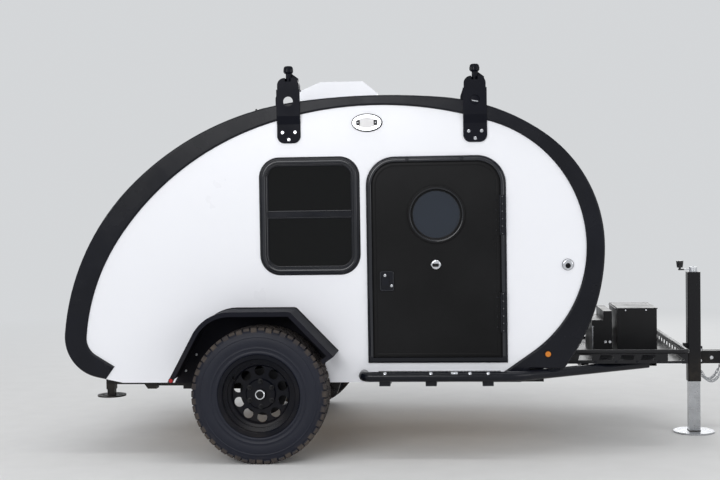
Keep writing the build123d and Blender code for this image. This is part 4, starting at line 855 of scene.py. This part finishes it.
def make_window_trim(side, sign):
    """Seals, sliding sash, weep caps and the inner trim of a window."""
    crown = Piece()
    crown.frame(WINDOW_BOX, 0.022, 0.088, 0.088, sign * 0.8095, CROWN)
    crown.frame(WINDOW_BOX, 0.036, 0.074, 0.074, sign * 0.8, circle(0.005))
    make(f"window_crown_{side}", crown, "gloss")
    seal = Piece()
    seal.frame(WINDOW_BOX, -0.0015, 0.1115, 0.1115, sign * 0.8005, circle(0.0022))
    make(f"window_seal_{side}", seal, "rubber")
    sash = Piece()
    for low, high, top_round, low_round in ((1.0535, 1.3265, 0.006, 0.064), (1.3615, 1.6165, 0.064, 0.006)):
        sash.frame((-0.8765, -0.4075, low, high), 0, top_round, low_round, sign * 0.795, pill(0.011, 0.0055))
    sash.tab([(-0.022, -0.006), (0.022, -0.006), (0.018, 0.006), (-0.018, 0.006)], sign, 0.8035, 0.004,
             -0.642, 1.344)
    make(f"window_sash_{side}", sash, "frame")
    caps = Piece()
    for x in (-0.795, -0.489):
        outline = frame_loop(x - 0.016, x + 0.016, 1.0245, 1.0325, 0.0035, 0.0035)
        caps.skin([at_side(outline, sign * y) for y in (0.8095, 0.8118)])
    make(f"window_weeps_{side}", caps, "rubber")
    trim = Piece()
    trim.frame(WINDOW_BOX, 0.018, 0.092, 0.092, sign * 0.7605, pill(0.036, 0.006))
    make(f"window_inner_trim_{side}", trim, "vent")


# Body details

# Place and height of the foot of each roof tower
RACK_FEET = ((-0.75, 1.739), (0.276, 1.727))
FRONT_MARKER = (0.657, 0, 0.565)
FENDER_MARKER = (-1.381, 0, 0.458)
PORCH_LAMP = (-0.316, 1.844)
PORCH_SCREWS = (-0.3645, -0.2675)
PLATE_FACE = -2.0585


def make_fender_trim(side, sign):
    """The welt between fender and wall, its screws, and the rings of the amber markers."""
    line = rounded_path([(-1.4206, 0.41), (-1.195, 0.826), (-0.727, 0.826), (-0.494, 0.584)], [0.229, 0.03])
    out = (0, sign, 0)
    welt = Piece()
    path = [Vector((x, sign * 0.8025, z + 0.0022)) for x, z in line[1:]]
    welt.sweep(path, circle(0.003, 8), out)
    make(f"fender_welt_{side}", welt, "rubber")
    screws = Piece()
    for x, z in ((-1.293, 0.569), (-1.355, 0.479)):
        screws.screw((x, sign * 0.8062, z), out, 0.0075)
    make(f"fender_screws_{side}", screws, "steel")
    ring = Piece()
    ring.spin([(0.0112, 1.0502), (0.0112, 1.053), (0.0128, 1.0535), (0.014, 1.0518), (0.014, 1.0498)],
              FENDER_MARKER, out, 28, ring=True)
    ring.spin([(0.0152, 0.8118), (0.0152, 0.8185), (0.0172, 0.819), (0.0192, 0.815), (0.0192, 0.8118)],
              FRONT_MARKER, out, 32, ring=True)
    make(f"marker_rings_{side}", ring, "rubber")


def make_rack_trim(side, sign):
    """Bright bolts in the foot of each tower, the grip round each knob and a lock in each front tower."""
    out = (0, sign, 0)
    bolts = Piece()
    grips = Piece()
    for x, low in RACK_FEET:
        for dx, dz in ((-0.035, 0.06), (0.035, 0.06), (0, 0.02)):
            bolts.bolt((x + dx, sign * 0.8082, low + dz), out, 0.0063)
        for i in range(14):
            angle = math.tau * i / 14
            away = (math.cos(angle), math.sin(angle), 0)
            foot = Vector((x + 0.0258 * away[0], sign * 0.785 + 0.0258 * away[1], low + 0.3935))
            grips.sweep([foot, foot + Vector((0, 0, 0.016))], circle(0.0022, 6), away)
    lock = Piece()
    lock.spin([(0.0272, 0.8125), (0.0272, 0.8165), (0.0255, 0.8175), (0.006, 0.8175), (0.0055, 0.817)],
              (0.276, 0, 1.957), out, 40)
    make(f"rack_lock_{side}", lock, "rack")
    # The thin chrome bar across each lock is a painted highlight: it stands for the light on the lower edge
    # of the lock's key slot.
    bolts.prism(frame_loop(-0.017, 0.017, -0.0024, 0.0024, 0.001, 0.001), (0.277, sign * 0.8172, 1.95),
                (0.985, 0, -0.17), (0.17, 0, 0.985), (0, sign * 0.0012, 0))
    make(f"rack_bolts_{side}", bolts, "chrome")
    make(f"rack_grips_{side}", grips, "frame")


def make_lamp_trim(side, sign):
    """Screws, gaskets and optics of the porch, courtesy and tail lamps."""
    out = (0, sign, 0)
    screws = Piece()
    tabs = Piece()
    for x in PORCH_SCREWS:
        screws.screw((x, sign * 0.8184, 1.844), out, 0.004)
        tabs.tab(frame_loop(x - 0.0105, x + 0.0105, 1.829, 1.859, 0.005, 0.005), sign, 0.8165, 0.0022)
    make(f"porch_tabs_{side}", tabs, "frame")
    make(f"porch_screws_{side}", screws, "steel")
    eye = Piece()
    eye.spin([(0.0145, 0.8136), (0.0145, 0.815), (0.012, 0.8158), (0.007, 0.815), (0.0015, 0.8147)],
             (0.77, 0, 1.046), out, 28)
    make(f"courtesy_eye_{side}", eye, "window")
    gasket = Piece()
    turns = [math.tau * i / 48 for i in range(48)]
    ellipse = [(PORCH_LAMP[0] + 0.0815 * math.cos(turn), PORCH_LAMP[1] + 0.0465 * math.sin(turn))
               for turn in turns]
    gasket.sweep(at_side(ellipse, sign * 0.802), circle(0.0042, 8), out, wrap=True)
    gasket.spin([(0.0302, 0.7998), (0.032, 0.7998), (0.0318, 0.8022), (0.0302, 0.8024)], (0.77, 0, 1.051),
                out, 40, ring=True)
    make(f"lamp_gaskets_{side}", gasket, "rubber")
    rim = Piece()
    outline = frame_loop(-0.0845, 0.0845, -0.0295, 0.0295, 0.029, 0.029)
    rim.sweep(at_end(outline, -2.0597, sign * 0.64, 0.664), circle(0.0024, 8), (-1, 0, 0), wrap=True)
    make(f"tail_lamp_rim_{side}", rim, "rubber")


def make_plate():
    """A blank plate on its holder, with a raised edge and four screws."""
    plate = Piece()
    outline = [(-a, b) for a, b in frame_loop(-0.1525, 0.1525, 0.576, 0.706, 0.012, 0.012)]
    plate.skin([at_end(outline, -2.0575), at_end(outline, PLATE_FACE)])
    edge = [(-a, b) for a, b in frame_loop(-0.147, 0.147, 0.5815, 0.7005, 0.009, 0.009)]
    plate.sweep(at_end(edge, -2.0588), pill(0.003, 0.0012, 3), (-1, 0, 0), wrap=True)
    make("blank_plate", plate, "vent")
    screws = Piece()
    for y in (-0.105, 0.105):
        for z in (0.59, 0.692):
            screws.screw((PLATE_FACE, y, z), (-1, 0, 0), 0.0048)
    make("plate_screws", screws, "steel")


def make_hatch_trim():
    """A lock in the hatch's handle and its four screws."""
    lock = Piece()
    lock.spin([(0.0105, -0.0005), (0.0105, 0.003), (0.009, 0.0042), (0.002, 0.0042), (0.0016, 0.002)],
              (-2.0572, -0.052, 0.8), (-1, 0, 0), 24)
    make("hatch_lock", lock, "chrome", "hatch")
    screws = Piece()
    for y in (-0.062, 0.062):
        for z in (0.773, 0.827):
            screws.screw((-2.057, y, z), (-1, 0, 0), 0.0032)
    make("hatch_handle_screws", screws, "steel", "hatch")


def make_vent_trim():
    """Ribs on the vent's lid and the framed insect screen below."""
    up = (0, 0, 1)
    ribs = Piece()
    for y in (-0.14, -0.047, 0.047, 0.14):
        path = [Vector((x, y, 2.1285)) for x in (-0.625, -0.56, -0.48, -0.398)]
        ribs.sweep(path, pill(0.016, 0.0022, 3), up)
    make("vent_lid_ribs", ribs, "vent", "roof_vent_lid")
    screen = Piece()
    middle = -0.552
    reach = 0.1772
    wire = circle(0.0008, 4)
    for i in range(15):
        at = -0.1715 + 0.0245 * i
        screen.sweep(at_level([(middle + at, -reach), (middle + at, reach)], 2.006), wire, up)
        screen.sweep(at_level([(middle - reach, at), (middle + reach, at)], 2.006), wire, up)
    loop = at_level(frame_loop(-0.7275, -0.3765, -0.1755, 0.1755, 0.01, 0.01), 2.006)
    screen.sweep(loop, pill(0.005, 0.01, 3), up, wrap=True)
    make("vent_screen", screen, "frame")


# Sliders and tongue

# Distance from the middle and height of the slider tubes, and place of the jack
SLIDER_Y = 0.9
SLIDER_Z = 0.454
JACK_X = 1.568
JACK_Y = -0.09


def make_slider_trim(side, sign):
    """Bolts on the slider tubes and the raised tread of the step plates."""
    lean = math.radians(50)
    out = Vector((0, sign * math.cos(lean), math.sin(lean)))
    bolts = Piece()
    for x in (-0.229, 0.02, 0.231, 0.329):
        place = Vector((x, sign * SLIDER_Y, SLIDER_Z)) + out * 0.0268
        bolts.bolt(place, out, 0.0068)
    foot = Vector((0.147, sign * SLIDER_Y, SLIDER_Z)) + out * 0.0262
    bolts.prism([(-0.018, -0.008), (0.018, -0.008), (0.018, 0.008), (-0.018, 0.008)], foot, (1, 0, 0),
                out.cross(Vector((1, 0, 0))), out * 0.004)
    bolts.bolt(foot + out * 0.0038, out, 0.0048)
    make(f"slider_bolts_{side}", bolts, "chrome")
    tread = Piece()
    section = [(-0.0028, -0.0004), (0.0028, -0.0004), (0.0016, 0.0012), (-0.0016, 0.0012)]
    for i in range(33):
        for j in range(3):
            hand = 1 if (i + j) % 2 else -1
            along = Vector((0.0065, sign * hand * 0.0065, 0))
            middle = Vector((-0.262 + 0.0203 * i, sign * (0.8255 + 0.0205 * j), 0.4742))
            path = [middle - along, middle - along * 0.5, middle + along * 0.5, middle + along]
            tread.sweep(path, section, (0, 0, 1))
    make(f"step_tread_{side}", tread, "tray")


def make_tongue_trim():
    """Screws, rods and latch of the tongue's boxes, and the bolts of beam and tray."""
    screws = Piece()
    for sign in (-1, 1):
        for x in (1.155, 1.274):
            screws.screw((x, sign * 0.2002, 0.7445), (0, sign, 0), 0.0048)
        for x in (1.036, 1.0626):
            screws.bolt((x, sign * 0.2002, 0.557), (0, sign, 0), 0.0058)
    make("tongue_box_screws", screws, "chrome")
    rod = Piece()
    for sign in (-1, 1):
        ends = [Vector((0.961, sign * 0.204, z)) for z in (0.4865, 0.652)]
        rod.sweep(ends, circle(0.0034), (0, sign, 0))
        rod.bolt((0.961, sign * 0.204, 0.648), (0, 0, 1), 0.006)
    make("battery_rods", rod, "steel")
    latch = Piece()
    latch.prism(frame_loop(-0.022, 0.022, 0.7, 0.744, 0.005, 0.005), (1.3365, 0, 0), (0, 1, 0), (0, 0, 1),
                (0.006, 0, 0))
    latch.spin([(0.009, 0), (0.009, 0.006), (0.0075, 0.0075), (0.002, 0.0075), (0.0016, 0.005)],
               (1.3422, 0, 0.722), (1, 0, 0), 24)
    make("tongue_box_lock", latch, "steel", bevel=0.0006)
    bolts = Piece()
    for sign in (-1, 1):
        for x, y, z, radius in ((1.684, 0.0382, 0.441, 0.0075), (1.885, 0.0442, 0.462, 0.0085),
                                (1.945, 0.0475, 0.462, 0.0085)):
            bolts.bolt((x, sign * y, z), (0, sign, 0), radius)
    for x in (1.522, 1.614):
        for z in (0.425, 0.49):
            bolts.bolt((x, -0.0525, z), (0, -1, 0), 0.0075)
    make("tongue_bolts", bolts, "chrome")
    rail = Piece()
    for sign in (-1, 1):
        for x in (0.935, 1.05, 1.165, 1.285):
            rail.bolt((x, sign * 0.6002, 0.492), (0, sign, 0), 0.0052)
    for i in range(5):
        rail.bolt((1.4442, (i - 2) * 0.194, 0.4935), (1, 0, 0), 0.0055)
    make("tray_bolts", rail, "frame")


def make_chain(side, sign):
    """A short safety chain that hangs from the tongue beam."""
    count = 15
    links = Piece()
    start = Vector((1.6, sign * 0.047, 0.405))
    end = Vector((1.76, sign * 0.047, 0.405))
    places = []
    for i in range(count + 1):
        share = i / count
        drop = 0.105 * (1 - (2 * share - 1) ** 2)
        places.append(start.lerp(end, share) - Vector((0, 0, drop)))
    for i, (a, b) in enumerate(zip(places, places[1:])):
        along = (b - a).normalized()
        middle = (a + b) / 2
        flat = Vector((0, 1, 0)) if i % 2 else along.cross(Vector((0, 1, 0)))
        half = (b - a).length / 2 + 0.001
        path = []
        for j in range(16):
            turn = math.tau * j / 16
            stretch = half if math.cos(turn) > 0 else -half
            reach = stretch + 0.0062 * math.cos(turn)
            path.append(middle + along * reach + flat * 0.0066 * math.sin(turn))
        links.sweep(path, circle(0.0024, 6), along.cross(flat), wrap=True)
    for place in (start, end):
        links.bolt(place + Vector((0, -sign * 0.009, 0.006)), (0, sign, 0), 0.0072)
    make(f"safety_chain_{side}", links, "steel")


def make_jack_trim():
    """A collar under the jack's cap, the crank's bolt and grip rings, and welds at the foot."""
    up = (0, 0, 1)
    collar = Piece()
    place = (JACK_X, JACK_Y, 0)
    collar.spin([(0.0242, 0.9632), (0.0262, 0.964), (0.0262, 0.967), (0.0242, 0.968)], place, up, 36,
                ring=True)
    collar.spin([(0.006, 0.9905), (0.006, 0.9945), (0.005, 0.9955)], place, up, 6)
    make("jack_collar", collar, "chrome")
    grip = Piece()
    for z, radius in ((0.9985, 0.0182), (1.006, 0.0191), (1.0135, 0.0201)):
        profile = [(radius, z), (radius + 0.0014, z + 0.0014), (radius, z + 0.0028)]
        grip.spin(profile, (1.491, JACK_Y, 0), up, 32, ring=True)
    make("crank_grip", grip, "rubber")
    weld = Piece()
    outline = frame_loop(-0.0335, 0.0335, -0.0335, 0.0335, 0.003, 0.003)
    weld.sweep(at_level(outline, 0.0115, JACK_X, JACK_Y), circle(0.0032, 6), up, wrap=True)
    make("jack_foot_weld", weld, "chassis", "jack_leg")


# Inside

# Corners of the mattress, the places of its sewn channels, and how far its cover may swell
MATTRESS_LOW = (-0.91, -0.745, 0.5003)
MATTRESS_HIGH = (0.68, 0.745, 0.6203)
SEAMS = (-0.38, 0.15)
SEAM_REACH = 0.05
SWELL = 0.024


def make_galley():
    """Wood banding round the cupboards and along the counter's edge."""
    band = Piece()
    outline = frame_loop(-0.2155, 0.2155, 0.5395, 0.8405, 0.004, 0.004)
    for y in (-0.506, 0, 0.506):
        band.sweep(at_end(outline, -1.8003, y), pill(0.012, 0.004, 3), (-1, 0, 0), wrap=True)
    band.sweep(at_end([(-0.76, 0.891), (0.76, 0.891)], -1.9005), pill(0.0165, 0.006, 4), (-1, 0, 0))
    make("galley_banding", band, "edge_wood")


def make_mattress():
    """The mattress: a padded cover, swollen by simulation, with piping and sewn channels."""
    low = MATTRESS_LOW
    high = MATTRESS_HIGH
    box = bmesh.new()
    bmesh.ops.create_cube(box, size=1)
    inset = 0.014
    for vert in box.verts:
        for axis in range(3):
            lift = 0.004 if axis == 2 and vert.co[axis] < 0 else inset
            vert.co[axis] = low[axis] + lift if vert.co[axis] < 0 else high[axis] - inset
    bmesh.ops.bevel(box, geom=box.edges[:], offset=0.03, segments=4, profile=0.5, affect="EDGES")
    mesh = bpy.data.meshes.new("mattress_cover")
    box.to_mesh(mesh)
    box.free()
    pad = new_object("mattress_cover", mesh)
    remesh = pad.modifiers.new("remesh", "REMESH")
    remesh.mode = "VOXEL"
    remesh.voxel_size = 0.022
    apply_modifiers(pad)
    start = [vert.co.copy() for vert in pad.data.vertices]
    cloth_swell(pad)
    for vert, home in zip(pad.data.vertices, start):
        move = vert.co - home
        if move.length > SWELL:
            move *= SWELL / move.length
        place = home + move
        groove = min(abs(place.x - x) for x in SEAMS)
        if place.z > 0.56 and groove < SEAM_REACH:
            place.z -= 0.01 * (0.5 + 0.5 * math.cos(math.pi * groove / SEAM_REACH))
        for axis in range(3):
            place[axis] = min(max(place[axis], low[axis] + 0.0004), high[axis] - 0.002)
        vert.co = place
    smooth = pad.modifiers.new("smooth", "SUBSURF")
    smooth.levels = 1
    smooth.render_levels = 1
    apply_modifiers(pad)
    for face in pad.data.polygons:
        face.use_smooth = True
    pad.data.materials.append(MATERIALS["mattress"])
    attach(pad, "trailer")
    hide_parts("mattress")
    piping = Piece()
    for z, inset in ((0.596, 0.01), (0.526, 0.0085)):
        outline = inset_loop((low[0], high[0], low[1], high[1]), inset, 0.04, 0.04)
        piping.sweep(at_level(outline, z), circle(0.0045, 8), (0, 0, 1), wrap=True)
    make("mattress_piping", piping, "piping")


def apply_modifiers(piece):
    """Puts the evaluated mesh in place of the piece's own and clears its modifiers."""
    bpy.context.view_layer.update()
    graph = bpy.context.evaluated_depsgraph_get()
    shaped = bpy.data.meshes.new_from_object(piece.evaluated_get(graph))
    piece.modifiers.clear()
    piece.data = shaped


def cloth_swell(pad):
    """Inflates a cover from within for twenty frames, without gravity."""
    frames = 20
    scene = bpy.context.scene
    cover = pad.modifiers.new("cloth", "CLOTH")
    cover.settings.quality = 5
    cover.settings.use_pressure = True
    cover.settings.uniform_pressure_force = 4
    cover.settings.effector_weights.gravity = 0
    cover.point_cache.frame_start = 1
    cover.point_cache.frame_end = frames
    for step in range(1, frames + 1):
        scene.frame_set(step)
    apply_modifiers(pad)
    scene.frame_set(1)


bpy.context.scene.view_settings.view_transform = "Standard"
MATERIALS = make_materials()
make_camera()
make_light()
make_floor()
dress_nodes()
make_tyres()
for dress in (make_wheel_trim, make_door_trim, make_window_trim, make_fender_trim, make_rack_trim,
              make_lamp_trim):
    on_both_sides(dress)
make_plate()
make_hatch_trim()
make_vent_trim()
on_both_sides(make_slider_trim)
make_tongue_trim()
on_both_sides(make_chain)
make_jack_trim()
make_galley()
make_mattress()
